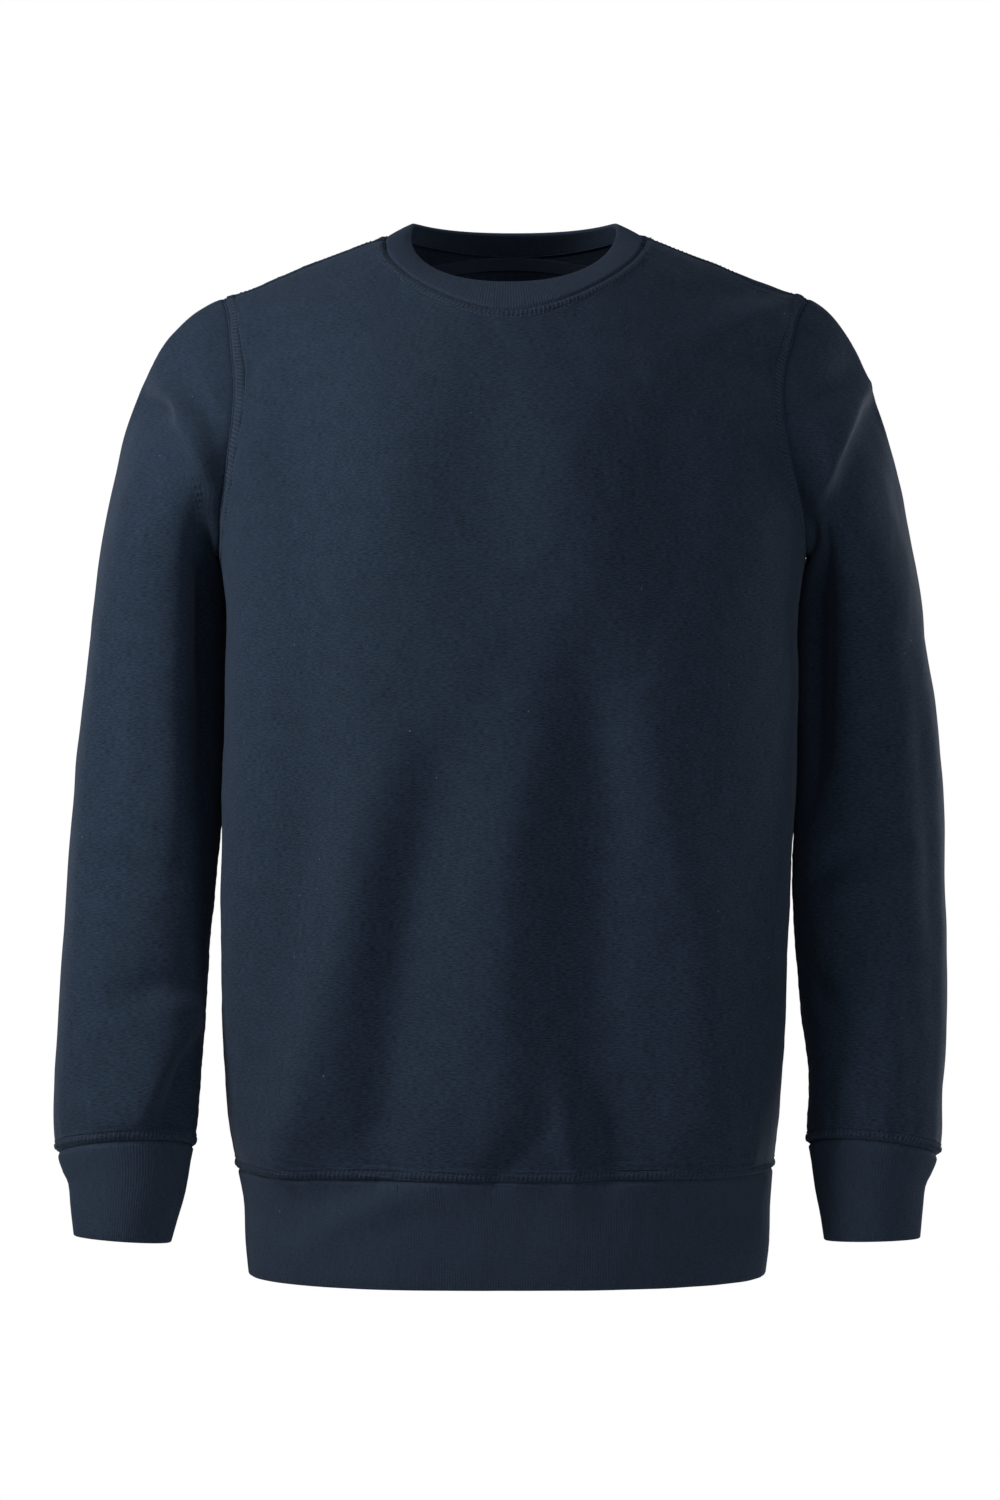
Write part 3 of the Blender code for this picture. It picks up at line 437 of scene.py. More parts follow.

# %% [markdown]
# ## Folds
# The cloth hangs from the shoulders and is drawn in at the waist and the wrists, so it breaks into soft
# folds. Each fold is given as a line over the cloth, seen from in front (or from behind), with its
# height at every point of that line. Heights above zero make ridges and heights below zero make troughs. The
# two sides of a fold have their own widths, because a real fold is soft on the side where the cloth comes
# from and steep on the side that hangs over. No two are alike in length, depth or spacing.

# %% Fold tables
# plus: half width towards the left of the garment (+X), or above where the line runs level towards +X
# minus: the half width on the other side; crisp: 2 is a soft crest and less is a sharper one
Fold = namedtuple("Fold", "face plus minus crisp line")
BODY_FOLDS = (
    Fold("front", 0.024, 0.024, 2.0, (
        (-0.082, -0.320, 0), (-0.090, -0.365, 0.0041), (-0.103, -0.410, 0.0074),
        (-0.113, -0.465, 0.0096), (-0.127, -0.525, 0.0096), (-0.141, -0.597, 0.0089),
        (-0.152, -0.640, 0.0022))),
    Fold("front", 0.030, 0.026, 2.0, (
        (-0.138, -0.180, 0), (-0.142, -0.260, -0.0050), (-0.143, -0.340, -0.0095),
        (-0.142, -0.405, -0.0110), (-0.150, -0.470, -0.0095), (-0.162, -0.540, -0.0050),
        (-0.170, -0.600, 0))),
    Fold("front", 0.040, 0.022, 2.0, (
        (-0.140, -0.045, 0), (-0.146, -0.080, -0.0050), (-0.150, -0.130, -0.0080),
        (-0.146, -0.190, -0.0075), (-0.142, -0.250, -0.0030), (-0.140, -0.290, 0))),
    Fold("front", 0.026, 0.022, 2.0, (
        (-0.046, -0.325, 0), (-0.054, -0.400, -0.0081), (-0.066, -0.445, -0.0104),
        (-0.073, -0.500, -0.0111), (-0.080, -0.550, -0.0122), (-0.087, -0.610, -0.0096),
        (-0.090, -0.645, 0))),
    Fold("front", 0.026, 0.028, 2.0, (
        (0.010, -0.290, 0), (0.008, -0.350, 0.0056), (-0.003, -0.410, 0.0085),
        (-0.007, -0.480, 0.0096), (-0.008, -0.560, 0.0081), (-0.010, -0.610, 0.0056),
        (-0.012, -0.645, 0))),
    Fold("front", 0.026, 0.026, 2.0, (
        (0.052, -0.255, 0), (0.056, -0.320, -0.0078), (0.056, -0.400, -0.0115),
        (0.056, -0.500, -0.0104), (0.060, -0.560, -0.0085), (0.070, -0.600, -0.0093),
        (0.074, -0.640, 0))),
    Fold("front", 0.028, 0.026, 2.0, (
        (0.084, -0.300, 0), (0.094, -0.370, 0.0056), (0.116, -0.430, 0.0078),
        (0.130, -0.490, 0.0093), (0.134, -0.560, 0.0096), (0.135, -0.600, 0.0085),
        (0.136, -0.645, 0))),
    Fold("front", 0.012, 0.016, 1.8, (
        (-0.127, -0.500, 0), (-0.136, -0.555, 0.0026), (-0.145, -0.600, 0.0044),
        (-0.150, -0.628, 0.0030), (-0.152, -0.645, 0))),
    Fold("front", 0.038, 0.040, 2.0, (
        (-0.070, -0.060, 0), (-0.072, -0.105, 0.0046), (-0.076, -0.165, 0.0057),
        (-0.086, -0.215, 0.0035), (-0.096, -0.260, 0))),
    Fold("front", 0.036, 0.032, 2.0, (
        (0.036, -0.075, 0), (0.034, -0.130, 0.0035), (0.032, -0.190, 0.0043),
        (0.036, -0.250, 0.0030), (0.038, -0.300, 0))),
    Fold("front", 0.030, 0.034, 2.0, (
        (0.100, -0.100, 0), (0.108, -0.150, -0.0049), (0.110, -0.210, -0.0049),
        (0.108, -0.260, -0.0022), (0.106, -0.300, 0))),
    Fold("front", 0.026, 0.030, 2.0, (
        (-0.022, -0.110, 0), (-0.020, -0.150, -0.0024), (-0.016, -0.190, -0.0022),
        (-0.014, -0.230, 0))),
    Fold("front", 0.008, 0.009, 1.8, (
        (0.028, -0.572, 0), (0.021, -0.593, -0.0030), (0.006, -0.611, -0.0050),
        (-0.010, -0.630, -0.0036), (-0.018, -0.640, 0))),
    Fold("front", 0.010, 0.009, 1.8, (
        (0.033, -0.555, 0), (0.034, -0.585, 0.0030), (0.040, -0.620, 0.0048),
        (0.042, -0.642, 0.0015))),
    Fold("front", 0.010, 0.009, 1.9, (
        (0.043, -0.540, 0), (0.050, -0.565, -0.0034), (0.060, -0.592, -0.0052),
        (0.066, -0.626, -0.0040), (0.067, -0.645, 0))),
    Fold("front", 0.007, 0.010, 1.9, (
        (-0.158, -0.692, 0), (-0.143, -0.681, 0.0020), (-0.110, -0.661, 0.0026),
        (-0.070, -0.643, 0.0022), (-0.045, -0.636, 0))),
    Fold("front", 0.009, 0.008, 2.0, (
        (-0.154, -0.656, 0), (-0.126, -0.645, -0.0022), (-0.095, -0.638, -0.0014),
        (-0.080, -0.632, 0))),
    Fold("front", 0.009, 0.015, 1.8, (
        (0.080, -0.090, 0), (0.112, -0.076, 0.0018), (0.150, -0.060, 0.0032),
        (0.185, -0.047, 0.0034), (0.199, -0.042, 0.0015))),
    Fold("front", 0.012, 0.010, 2.0, (
        (0.100, -0.046, 0), (0.130, -0.038, -0.0022), (0.170, -0.030, -0.0030),
        (0.190, -0.026, -0.0010))),
    Fold("front", 0.016, 0.014, 2.0, (
        (0.110, -0.108, 0), (0.150, -0.092, -0.0026), (0.184, -0.080, -0.0024),
        (0.196, -0.076, 0))),
    Fold("front", 0.013, 0.016, 2.0, (
        (-0.140, -0.052, 0), (-0.166, -0.068, -0.0034), (-0.183, -0.094, -0.0036),
        (-0.190, -0.130, -0.0012), (-0.190, -0.150, 0))),
    Fold("back", 0.020, 0.015, 1.9, (
        (-0.070, -0.290, 0), (-0.088, -0.400, 0.0046), (-0.108, -0.540, 0.0054),
        (-0.118, -0.640, 0.0010))),
    Fold("back", 0.016, 0.022, 2.0, (
        (-0.044, -0.330, 0), (-0.060, -0.460, -0.0042), (-0.072, -0.600, -0.0046),
        (-0.074, -0.650, 0))),
    Fold("back", 0.022, 0.018, 2.0, (
        (-0.004, -0.260, 0), (-0.012, -0.380, -0.0036), (-0.024, -0.520, -0.0042),
        (-0.026, -0.600, 0))),
    Fold("back", 0.018, 0.024, 1.9, (
        (0.058, -0.300, 0), (0.074, -0.420, 0.0044), (0.092, -0.560, 0.0052),
        (0.100, -0.645, 0.0006))),
    Fold("back", 0.014, 0.018, 2.0, (
        (0.112, -0.340, 0), (0.122, -0.470, -0.0044), (0.136, -0.610, -0.0040),
        (0.138, -0.660, 0))),
    Fold("back", 0.010, 0.016, 1.8, (
        (-0.196, -0.052, 0.0012), (-0.170, -0.064, 0.0030), (-0.120, -0.092, 0.0018),
        (-0.090, -0.110, 0))),
    Fold("back", 0.014, 0.012, 2.0, (
        (0.100, -0.110, 0), (0.140, -0.090, -0.0026), (0.180, -0.072, -0.0026),
        (0.194, -0.066, 0))),
    Fold("back", 0.009, 0.010, 1.8, (
        (0.020, -0.590, 0), (0.010, -0.612, -0.0036), (-0.004, -0.632, -0.0034),
        (-0.008, -0.642, 0))),
)
LEFT_FOLDS = (
    Fold("front", 0.0060, 0.028, 1.5, (
        (0.262, -0.084, 0), (0.251, -0.092, 0.0022), (0.240, -0.104, 0.0065),
        (0.228, -0.128, 0.0100), (0.216, -0.154, 0.0100), (0.207, -0.178, 0.0060),
        (0.202, -0.196, 0))),
    Fold("front", 0.0190, 0.024, 2.0, (
        (0.207, -0.165, 0), (0.203, -0.195, -0.0080), (0.201, -0.235, -0.0130),
        (0.201, -0.290, -0.0140), (0.202, -0.345, -0.0100), (0.202, -0.410, 0))),
    Fold("front", 0.011, 0.010, 2.0, (
        (0.246, -0.074, 0), (0.236, -0.084, -0.0036), (0.221, -0.098, -0.0052),
        (0.204, -0.112, -0.0046), (0.195, -0.121, 0))),
    Fold("front", 0.013, 0.012, 2.0, (
        (0.262, -0.104, 0), (0.247, -0.122, -0.0040), (0.234, -0.150, -0.0058),
        (0.226, -0.176, -0.0030), (0.224, -0.200, 0))),
    Fold("front", 0.0065, 0.010, 1.8, (
        (0.274, -0.230, 0), (0.281, -0.305, -0.0022), (0.286, -0.360, -0.0032),
        (0.289, -0.440, -0.0034), (0.289, -0.540, -0.0022), (0.286, -0.590, 0))),
    Fold("front", 0.0075, 0.012, 1.8, (
        (0.203, -0.448, 0), (0.209, -0.436, -0.0030), (0.223, -0.420, -0.0050),
        (0.246, -0.413, -0.0044), (0.268, -0.413, -0.0014), (0.276, -0.414, 0))),
    Fold("front", 0.010, 0.012, 2.0, (
        (0.214, -0.454, 0), (0.230, -0.440, 0.0026), (0.254, -0.434, 0.0018), (0.268, -0.434, 0))),
    Fold("front", 0.010, 0.010, 2.0, (
        (0.202, -0.492, 0), (0.207, -0.506, -0.0042), (0.215, -0.517, -0.0030),
        (0.226, -0.526, 0))),
    Fold("front", 0.012, 0.013, 2.0, (
        (0.270, -0.455, 0), (0.275, -0.520, -0.0034), (0.275, -0.575, -0.0034),
        (0.271, -0.615, 0))),
    Fold("front", 0.010, 0.014, 1.9, (
        (0.212, -0.560, 0), (0.228, -0.574, 0.0026), (0.248, -0.596, 0.0030), (0.256, -0.612, 0))),
    Fold("front", 0.012, 0.010, 2.0, (
        (0.224, -0.270, 0), (0.240, -0.262, 0.0018), (0.262, -0.270, 0.0016), (0.272, -0.280, 0))),
    Fold("back", 0.009, 0.024, 1.7, (
        (0.252, -0.088, 0), (0.236, -0.106, 0.0060), (0.216, -0.140, 0.0076),
        (0.202, -0.176, 0.0030), (0.198, -0.194, 0))),
    Fold("back", 0.010, 0.014, 1.9, (
        (0.212, -0.400, 0), (0.232, -0.388, -0.0050), (0.258, -0.392, -0.0046),
        (0.280, -0.404, 0))),
    Fold("back", 0.012, 0.012, 2.0, (
        (0.216, -0.436, 0), (0.240, -0.424, 0.0036), (0.266, -0.428, 0.0030), (0.280, -0.436, 0))),
    Fold("back", 0.010, 0.014, 1.9, (
        (0.214, -0.470, 0), (0.238, -0.456, -0.0042), (0.262, -0.462, -0.0034),
        (0.276, -0.474, 0))),
    Fold("back", 0.012, 0.016, 2.0, (
        (0.222, -0.560, 0), (0.244, -0.548, -0.0034), (0.266, -0.556, -0.0026),
        (0.276, -0.566, 0))),
)
RIGHT_FOLDS = (
    Fold("front", 0.027, 0.0075, 1.5, (
        (-0.252, -0.100, 0), (-0.240, -0.101, 0.0050), (-0.229, -0.109, 0.0090),
        (-0.219, -0.126, 0.0105), (-0.209, -0.148, 0.0100), (-0.199, -0.172, 0.0060),
        (-0.194, -0.190, 0))),
    Fold("front", 0.024, 0.0170, 2.0, (
        (-0.205, -0.160, 0), (-0.200, -0.190, -0.0110), (-0.198, -0.235, -0.0150),
        (-0.198, -0.290, -0.0150), (-0.199, -0.345, -0.0110), (-0.201, -0.410, 0))),
    Fold("front", 0.011, 0.010, 2.0, (
        (-0.236, -0.080, 0), (-0.225, -0.094, -0.0040), (-0.212, -0.110, -0.0062),
        (-0.199, -0.127, -0.0062), (-0.187, -0.142, -0.0030), (-0.182, -0.150, 0))),
    Fold("front", 0.005, 0.012, 1.7, (
        (-0.262, -0.106, 0), (-0.250, -0.108, -0.0050), (-0.240, -0.111, -0.0070),
        (-0.231, -0.117, -0.0050), (-0.225, -0.128, 0))),
    Fold("front", 0.011, 0.024, 2.0, (
        (-0.220, -0.200, 0), (-0.229, -0.260, 0.0038), (-0.232, -0.340, 0.0044),
        (-0.231, -0.400, 0.0038), (-0.229, -0.435, 0))),
    Fold("front", 0.012, 0.013, 2.0, (
        (-0.266, -0.235, 0), (-0.273, -0.290, -0.0028), (-0.275, -0.350, -0.0028),
        (-0.276, -0.405, 0))),
    Fold("front", 0.009, 0.013, 1.9, (
        (-0.288, -0.424, 0), (-0.270, -0.427, -0.0034), (-0.252, -0.431, -0.0026),
        (-0.238, -0.428, 0))),
    Fold("front", 0.012, 0.013, 1.9, (
        (-0.280, -0.508, 0), (-0.262, -0.510, -0.0040), (-0.242, -0.509, -0.0050),
        (-0.228, -0.503, -0.0016), (-0.220, -0.496, 0))),
    Fold("front", 0.009, 0.009, 1.9, (
        (-0.240, -0.528, 0), (-0.226, -0.521, 0.0028), (-0.212, -0.524, 0.0034),
        (-0.205, -0.530, 0))),
    Fold("front", 0.010, 0.022, 1.6, (
        (-0.206, -0.528, 0), (-0.215, -0.538, 0.0040), (-0.229, -0.553, 0.0062),
        (-0.242, -0.580, 0.0066), (-0.249, -0.602, 0.0036), (-0.252, -0.616, 0))),
    Fold("front", 0.014, 0.011, 2.0, (
        (-0.204, -0.538, 0), (-0.213, -0.554, -0.0080), (-0.222, -0.580, -0.0110),
        (-0.230, -0.604, -0.0080), (-0.234, -0.618, 0))),
    Fold("front", 0.008, 0.008, 1.9, (
        (-0.292, -0.572, 0), (-0.282, -0.590, 0.0026), (-0.270, -0.604, 0.0022),
        (-0.258, -0.612, 0))),
    Fold("back", 0.024, 0.009, 1.7, (
        (-0.246, -0.092, 0), (-0.230, -0.108, 0.0060), (-0.212, -0.138, 0.0074),
        (-0.198, -0.172, 0.0034), (-0.194, -0.192, 0))),
    Fold("back", 0.010, 0.014, 1.9, (
        (-0.284, -0.398, 0), (-0.262, -0.388, -0.0046), (-0.236, -0.392, -0.0050),
        (-0.214, -0.406, 0))),
    Fold("back", 0.012, 0.012, 2.0, (
        (-0.284, -0.434, 0), (-0.260, -0.422, 0.0034), (-0.236, -0.428, 0.0032),
        (-0.218, -0.438, 0))),
    Fold("back", 0.010, 0.013, 1.9, (
        (-0.286, -0.476, 0), (-0.262, -0.458, -0.0044), (-0.238, -0.466, -0.0030),
        (-0.222, -0.474, 0))),
    Fold("back", 0.012, 0.016, 2.0, (
        (-0.290, -0.570, 0), (-0.266, -0.554, -0.0032), (-0.244, -0.560, -0.0028),
        (-0.230, -0.570, 0))),
)
FACING = {"front": -1, "back": 1}
TURNED_AWAY, TURNED_TO = 0.05, 0.55  # a fold grows over this range as the cloth turns to face it

# %% Shaping folds
def fold_height(points, normals, folds):
    """How far the folds move each point of the cloth, out (above zero) or in."""
    height = np.zeros(points.shape[:-1])
    flat = points[..., (0, 2)]
    for fold in folds:
        line = np.array(fold.line)
        knots = np.append(0, np.cumsum(np.hypot(*np.diff(line[:, :2], axis=0).T)))
        at = np.linspace(0, knots[-1], 8 * len(line))
        x, z, rise = (through(knots, line[:, column], at) for column in range(3))
        across = unit(np.stack([-np.gradient(z), np.gradient(x)], -1))
        run, fall = line[-1, 0] - line[0, 0], line[0, 1] - line[-1, 1]
        across *= np.sign(run if abs(run) > abs(fall) else fall)
        reach = 3 * max(fold.plus, fold.minus)
        low, high = line[:, :2].min(0) - reach, line[:, :2].max(0) + reach
        facing = ease(TURNED_AWAY, TURNED_TO, normals[..., 1] * FACING[fold.face])
        near = ((flat > low) & (flat < high)).all(-1) & (facing > 0)
        offset = flat[near][:, None] - np.stack([x, z], -1)
        distance = np.hypot(offset[..., 0], offset[..., 1])
        closest = distance.argmin(1)
        nearest = np.arange(len(closest)), closest
        side = (offset[nearest] * across[closest]).sum(-1)
        width = np.where(side > 0, fold.plus, fold.minus)
        profile = np.exp(-((distance[nearest] / width) ** fold.crisp))
        height[near] += rise[closest] * profile * facing[near]
    return height


# wavelength and height of the cloth's general unevenness
WaveRow = namedtuple("WaveRow", "length rise turn")
WAVES = (
    WaveRow(0.130, 0.00060, 0.4),
    WaveRow(0.083, 0.00045, 1.7),
    WaveRow(0.051, 0.00030, 2.9),
    WaveRow(0.031, 0.00016, 0.9),
    WaveRow(0.019, 0.00008, 2.2),
)


def unevenness(points):
    height = np.zeros(points.shape[:-1])
    for row in WAVES:
        k = 2 * pi / row.length
        way = np.array([np.cos(row.turn), 0.8 * np.sin(2 * row.turn), 0.6 * np.sin(row.turn)])
        other = np.array([-0.5 * np.sin(row.turn), np.cos(row.turn), 0.7 * np.cos(2 * row.turn)])
        wave = np.sin(k * (points @ way) + 2 * row.turn)
        height += row.rise * wave * np.sin(0.7 * k * (points @ other) + row.turn)
    return height


print(len(BODY_FOLDS) + len(LEFT_FOLDS) + len(RIGHT_FOLDS), "folds")

# %% [markdown]
# ## Laying a flat sheet on the form
# Every piece starts as a flat grid, the cut cloth. Its rows and columns stand closer together near the seams,
# where the stitching pulls a small groove, and wider in the middle, where the cloth is smooth. The grid is
# laid on the form point by point. A tube's two long edges meet there and are merged, and Solidify then gives
# the sheet its thickness, inwards from the face. The flat sizes are kept as the UV map, in metres, so the
# knit keeps its true scale and follows the cloth.

# %% Spacing
FINEST, WIDEST, GROWTH, HELD = 0.0007, 0.0036, 1.3, 11


def spaced(length, widest=WIDEST, ends=(True, True)):
    """Places from 0 to 1 along a length, close together at the ends that are named."""
    small = [FINEST] * HELD
    while small[-1] * GROWTH < widest:
        small.append(small[-1] * GROWTH)
    first, last = (np.array(small) if end else np.array([]) for end in ends)
    left = length - first.sum() - last.sum()
    steps = np.concatenate([first, np.full(int(np.ceil(left / widest)), widest), last[::-1]])
    places = np.append(0, np.cumsum(steps))
    return places / places[-1]


def evenly(ring, count):
    """Angles that divide a ring of points, read by angle, into equal lengths."""
    turn = np.linspace(0, 2 * pi, 2001)
    length = np.append(0, np.cumsum(np.linalg.norm(np.diff(ring(turn), axis=0), axis=1)))
    return np.interp(np.linspace(0, length[-1], count + 1), length, turn), length[-1]


# %% Laying and thickening
def flat_sizes(grid, level_row=0):
    """Distance across each row from its middle, and along each column from the row that was cut level."""
    across = np.linalg.norm(np.diff(grid, axis=1), axis=2).cumsum(1)
    across = np.pad(across, ((0, 0), (1, 0)))
    up = np.linalg.norm(np.diff(grid, axis=0), axis=2).cumsum(0)
    up = np.pad(up, ((1, 0), (0, 0)))
    return np.stack([across - across[:, -1:] / 2, up - up[level_row]], -1)


def lay_cloth(name, grid, outward, tube=False, ring=False, level_row=0):
    """A sheet of cloth on a grid of points, rows by columns.

    A tube's last column meets its first, and a ring's last row meets its first too.
    """
    rows, columns = grid.shape[:2]
    bpy.ops.object.select_all(action="DESELECT")
    bpy.ops.mesh.primitive_grid_add(x_subdivisions=columns - 1, y_subdivisions=rows - 1, size=1)
    piece = bpy.context.active_object
    piece.name = piece.data.name = name
    mesh = piece.data
    mesh.vertices.foreach_set("co", grid.astype(np.float32).ravel())
    corners = np.empty(len(mesh.loops), np.int32)
    mesh.loops.foreach_get("vertex_index", corners)
    mesh.uv_layers[0].name = "cut"
    cut = flat_sizes(grid, level_row).reshape(-1, 2)[corners]
    mesh.uv_layers[0].data.foreach_set("uv", cut.astype(np.float32).ravel())
    mesh.update()
    facing = np.empty(len(mesh.vertices) * 3, np.float32)
    mesh.vertices.foreach_get("normal", facing)
    inside_out = (facing.reshape(grid.shape) * outward).sum() < 0
    bpy.ops.object.mode_set(mode="EDIT")
    bpy.ops.mesh.select_all(action="SELECT")
    if tube:
        bpy.ops.mesh.remove_doubles(threshold=0.00001)
    if ring:
        bpy.ops.mesh.normals_make_consistent(inside=False)
    elif inside_out:
        bpy.ops.mesh.flip_normals()
    bpy.ops.object.mode_set(mode="OBJECT")
    return piece


def thicken(piece, thickness, edge=40):
    wall = piece.modifiers.new("thickness", "SOLIDIFY")
    wall.thickness, wall.offset = thickness, -1
    bpy.context.view_layer.objects.active = piece
    bpy.ops.object.modifier_apply(modifier=wall.name)
    smooth(piece, edge)


def smooth(piece, edge):
    bpy.ops.object.select_all(action="DESELECT")
    piece.select_set(True)
    bpy.context.view_layer.objects.active = piece
    bpy.ops.object.shade_smooth_by_angle(angle=np.radians(edge))


def area_of(grid):
    one, two = np.diff(grid, axis=1)[:-1], np.diff(grid, axis=0)[:, :-1]
    return float(np.linalg.norm(np.cross(one, two), axis=-1).sum())


def report(piece, grid):
    flat = flat_sizes(grid)
    width, length = np.ptp(flat[..., 0]), np.ptp(flat[..., 1])
    triangles = len(piece.data.loop_triangles)
    size = f"flat {width:.3f} x {length:.3f} m, area {area_of(grid):.4f} m2"
    print(f"{piece.name}: {size}, {triangles} triangles")


# %% [markdown]
# ## Seams
# At a seam the cloth turns down into a narrow groove. Where two needles have sewn the seam allowance flat,
# the cloth beside the groove stands up a little over the folded edges beneath, and each row of stitches
# presses its own shallow line into it. A seam's groove is at most about a millimetre and a half deep and a row
# of stitches lies about a millimetre down, and that small relief is what makes a seam read as sewn.

# %% Seam relief
SEAM_DIP, SHALLOW_DIP, SEAM_DIP_WIDTH = 0.0016, 0.0005, 0.0013
WELT_SHARE = 0.5  # of the dip beside it
WELT_START = (0.0003, 0.0014)  # distances from the seam over which it rises
WELT_PAST_NEEDLE, WELT_SLOPE = 0.0006, 0.002  # where it ends past the outer stitches, and how fast it falls
LINE_DIVISIONS = 5  # parts that each step of a seam's line is divided into
NEEDLES = (0.0018, 0.0066)  # distances of the twin needle from the seam
WIDE_NEEDLES = (0.0024, 0.0090)  # round the armholes
NEEDLE_DIP, NEEDLE_WIDTH = 0.0011, 0.0008
PUCKER, PUCKER_LENGTH, PUCKER_REACH = 0.00035, 0.017, 0.016
Seam = namedtuple("Seam", "line dip needles")


def distance_to(points, line):
    """Distance of each point to a line of points."""
    shares = np.linspace(0, 1, LINE_DIVISIONS + 1)[:-1, None, None]
    dense = np.concatenate([line[:-1] + (line[1:] - line[:-1]) * share for share in shares])
    tree = KDTree(len(dense))
    for index, point in enumerate(dense):
        tree.insert(point, index)
    tree.balance()
    found = [tree.find(point)[1:] for point in points.reshape(-1, 3)]
    nearest, distance = (np.array(part) for part in zip(*found))
    return distance.reshape(points.shape[:-1]), nearest.reshape(points.shape[:-1]), dense


def seam_height(points, seams):
    height = np.zeros(points.shape[:-1])
    for seam in seams:
        distance, nearest, dense = distance_to(points, seam.line)
        height -= seam.dip * np.exp(-((distance / SEAM_DIP_WIDTH) ** 2))
        place = dense[nearest] @ np.array([1.0, 0.8, 1.2]) / PUCKER_LENGTH
        wave = np.sin(2 * pi * place) * np.sin(2.7 * place + 1)
        height += PUCKER * wave * np.exp(-distance / PUCKER_REACH) * ease(0, 0.002, distance)
        if seam.needles:
            edge = seam.needles[1] + WELT_PAST_NEEDLE
            welt = WELT_SHARE * seam.dip * ease(*WELT_START, distance)
            height += welt * ease(edge + WELT_SLOPE, edge, distance)
        for needle in seam.needles:
            height -= NEEDLE_DIP * np.exp(-(((distance - needle) / NEEDLE_WIDTH) ** 2))
    return height

# %% [markdown]
# ## Front and back
# The front and the back are each cut in one. Both are read off the torso's form between their seams, moved by
# the folds and the unevenness, and drawn back from their edges by half a seam's gap. Near the neck and the
# armholes the seams hold the cloth to its line, so the folds fade out there.

# %% Front and back panels
PANEL_WIDTH, PANEL_LENGTH = 0.54, 0.60  # about; they only set how the rows and columns are spaced
SEAM_HOLD = 0.014  # over this distance the folds grow from nothing at a held seam


def drawn_in(grid, distance):
    """The grid with its outermost points drawn in by a distance."""
    grid = grid.copy()
    ends = (np.s_[0], np.s_[1]), (np.s_[-1], np.s_[-2])
    sides = (np.s_[:, 0], np.s_[:, 1]), (np.s_[:, -1], np.s_[:, -2])
    for edge, inside in ends + sides:
        grid[edge] += unit(grid[inside] - grid[edge]) * distance
    return grid


def ring_seams(rows, side):
    """The seams round a panel, as lines of points."""
    share = np.linspace(0, 1, 160)
    left = torso(*armhole_line(rows, side, share))
    angle, level = armhole_line(rows, side, share)
    right = torso(pi - angle, level)
    neck = torso(*neck_line(side, share))
    waist = torso(pi * share, side * WAIST_SEAM_DROP**0.5)
    seam_side = side * np.linspace(WAIST_SEAM_DROP**0.5, rows[0].drop ** 0.5, 160)
    sides = [torso(at, seam_side) for at in (0, pi)]
    angle = neck_line(side, np.array([0.0, 1.0]))[0]
    point = np.radians(SHOULDER_POINT_ANGLE)
    spans = (point, angle[0]), (angle[1], pi - point)
    shoulders = [torso(np.linspace(start, end, 60), SHOULDER_SEAM_LEVEL) for start, end in spans]
    return {
        "armholes": [left, right],
        "neck": [neck],
        "waist": [waist],
        "sides": sides,
        "shoulders": shoulders,
    }


def body_height(points, normals):
    return fold_height(points, normals, BODY_FOLDS) + unevenness(points)


def make_panel(name, rows, side):
    across, up = spaced(PANEL_WIDTH), spaced(PANEL_LENGTH)
    angle, level = panel_cut(rows, side, across, up)
    grid, normals = torso(angle, level), torso_normals(angle, level)
    seams = ring_seams(rows, side)
    held = np.ones(grid.shape[:-1])
    for line in seams["armholes"] + seams["neck"]:
        held *= ease(0, SEAM_HOLD, distance_to(grid, line)[0])
    sewing = {
        "armholes": (SHALLOW_DIP, WIDE_NEEDLES), "neck": (SEAM_DIP, NEEDLES), "waist": (SEAM_DIP, NEEDLES),
        "sides": (SEAM_DIP, ()), "shoulders": (SHALLOW_DIP, NEEDLES if side < 0 else ()),
    }
    height = seam_height(grid, [Seam(line, *sewing[kind]) for kind, lines in seams.items() for line in lines])
    height += body_height(grid, normals) * held
    grid = drawn_in(grid + normals * height[..., None], SEAM_GAP / 2)
    piece = lay_cloth(name, grid, normals)
    thicken(piece, CLOTH)
    report(piece, grid)
    return piece, seams


front, front_seams = make_panel("front_panel", ARMHOLE_FRONT, 1)
back, back_seams = make_panel("back_panel", ARMHOLE_BACK, -1)

# %% [markdown]
# ## Sleeves
# A sleeve is cut flat with a rounded cap and sewn to a tube under the arm. The cap is longer than the armhole
# it is eased into, so it swells over the shoulder before it follows the arm. From the end of the cap the
# sleeve is a row of ovals along the arm's line, wide at the elbow and narrow where the cuff gathers it.

# %% Rings along a sleeve
def sleeve_centres(rows, drop):
    heights = -along(rows, "height")
    across, back_ward = (through(heights, along(rows, name), drop) for name in ("centre_x", "centre_y"))
    return np.stack([across, back_ward, -drop], -1)


def sleeve_rings(rows, height, around):
    """Points round the sleeve at each height, and the way the sleeve runs there.

    Around is 0 at the outer side, pi / 2 in front and pi under the arm.
    """
    heights, drop = -along(rows, "height"), -np.asarray(height, float)
    side = np.sign(rows[0].centre_x)
    course = unit(sleeve_centres(rows, drop + 0.004) - sleeve_centres(rows, drop - 0.004))
    forward = unit(np.cross(course, (1, 0, 0)))
    out = unit(np.cross(forward, course)) * side
    cosine, sine = oval(around, through(heights, along(rows, "squareness"), drop)[:, None])
    half_width = through(heights, along(rows, "half_width"), drop)[:, None]
    half_depth = through(heights, along(rows, "half_depth"), drop)[:, None]
    ring = out[:, None] * (half_width * cosine)[..., None] + forward[:, None] * (half_depth * sine)[..., None]
    return sleeve_centres(rows, drop)[:, None] + ring, course


def slope_round(ring):
    """How a closed ring of points runs, its last point lying on its first."""
    ring = np.concatenate([ring[-2:-1], ring, ring[1:2]])
    return ring[2:] - ring[:-2]


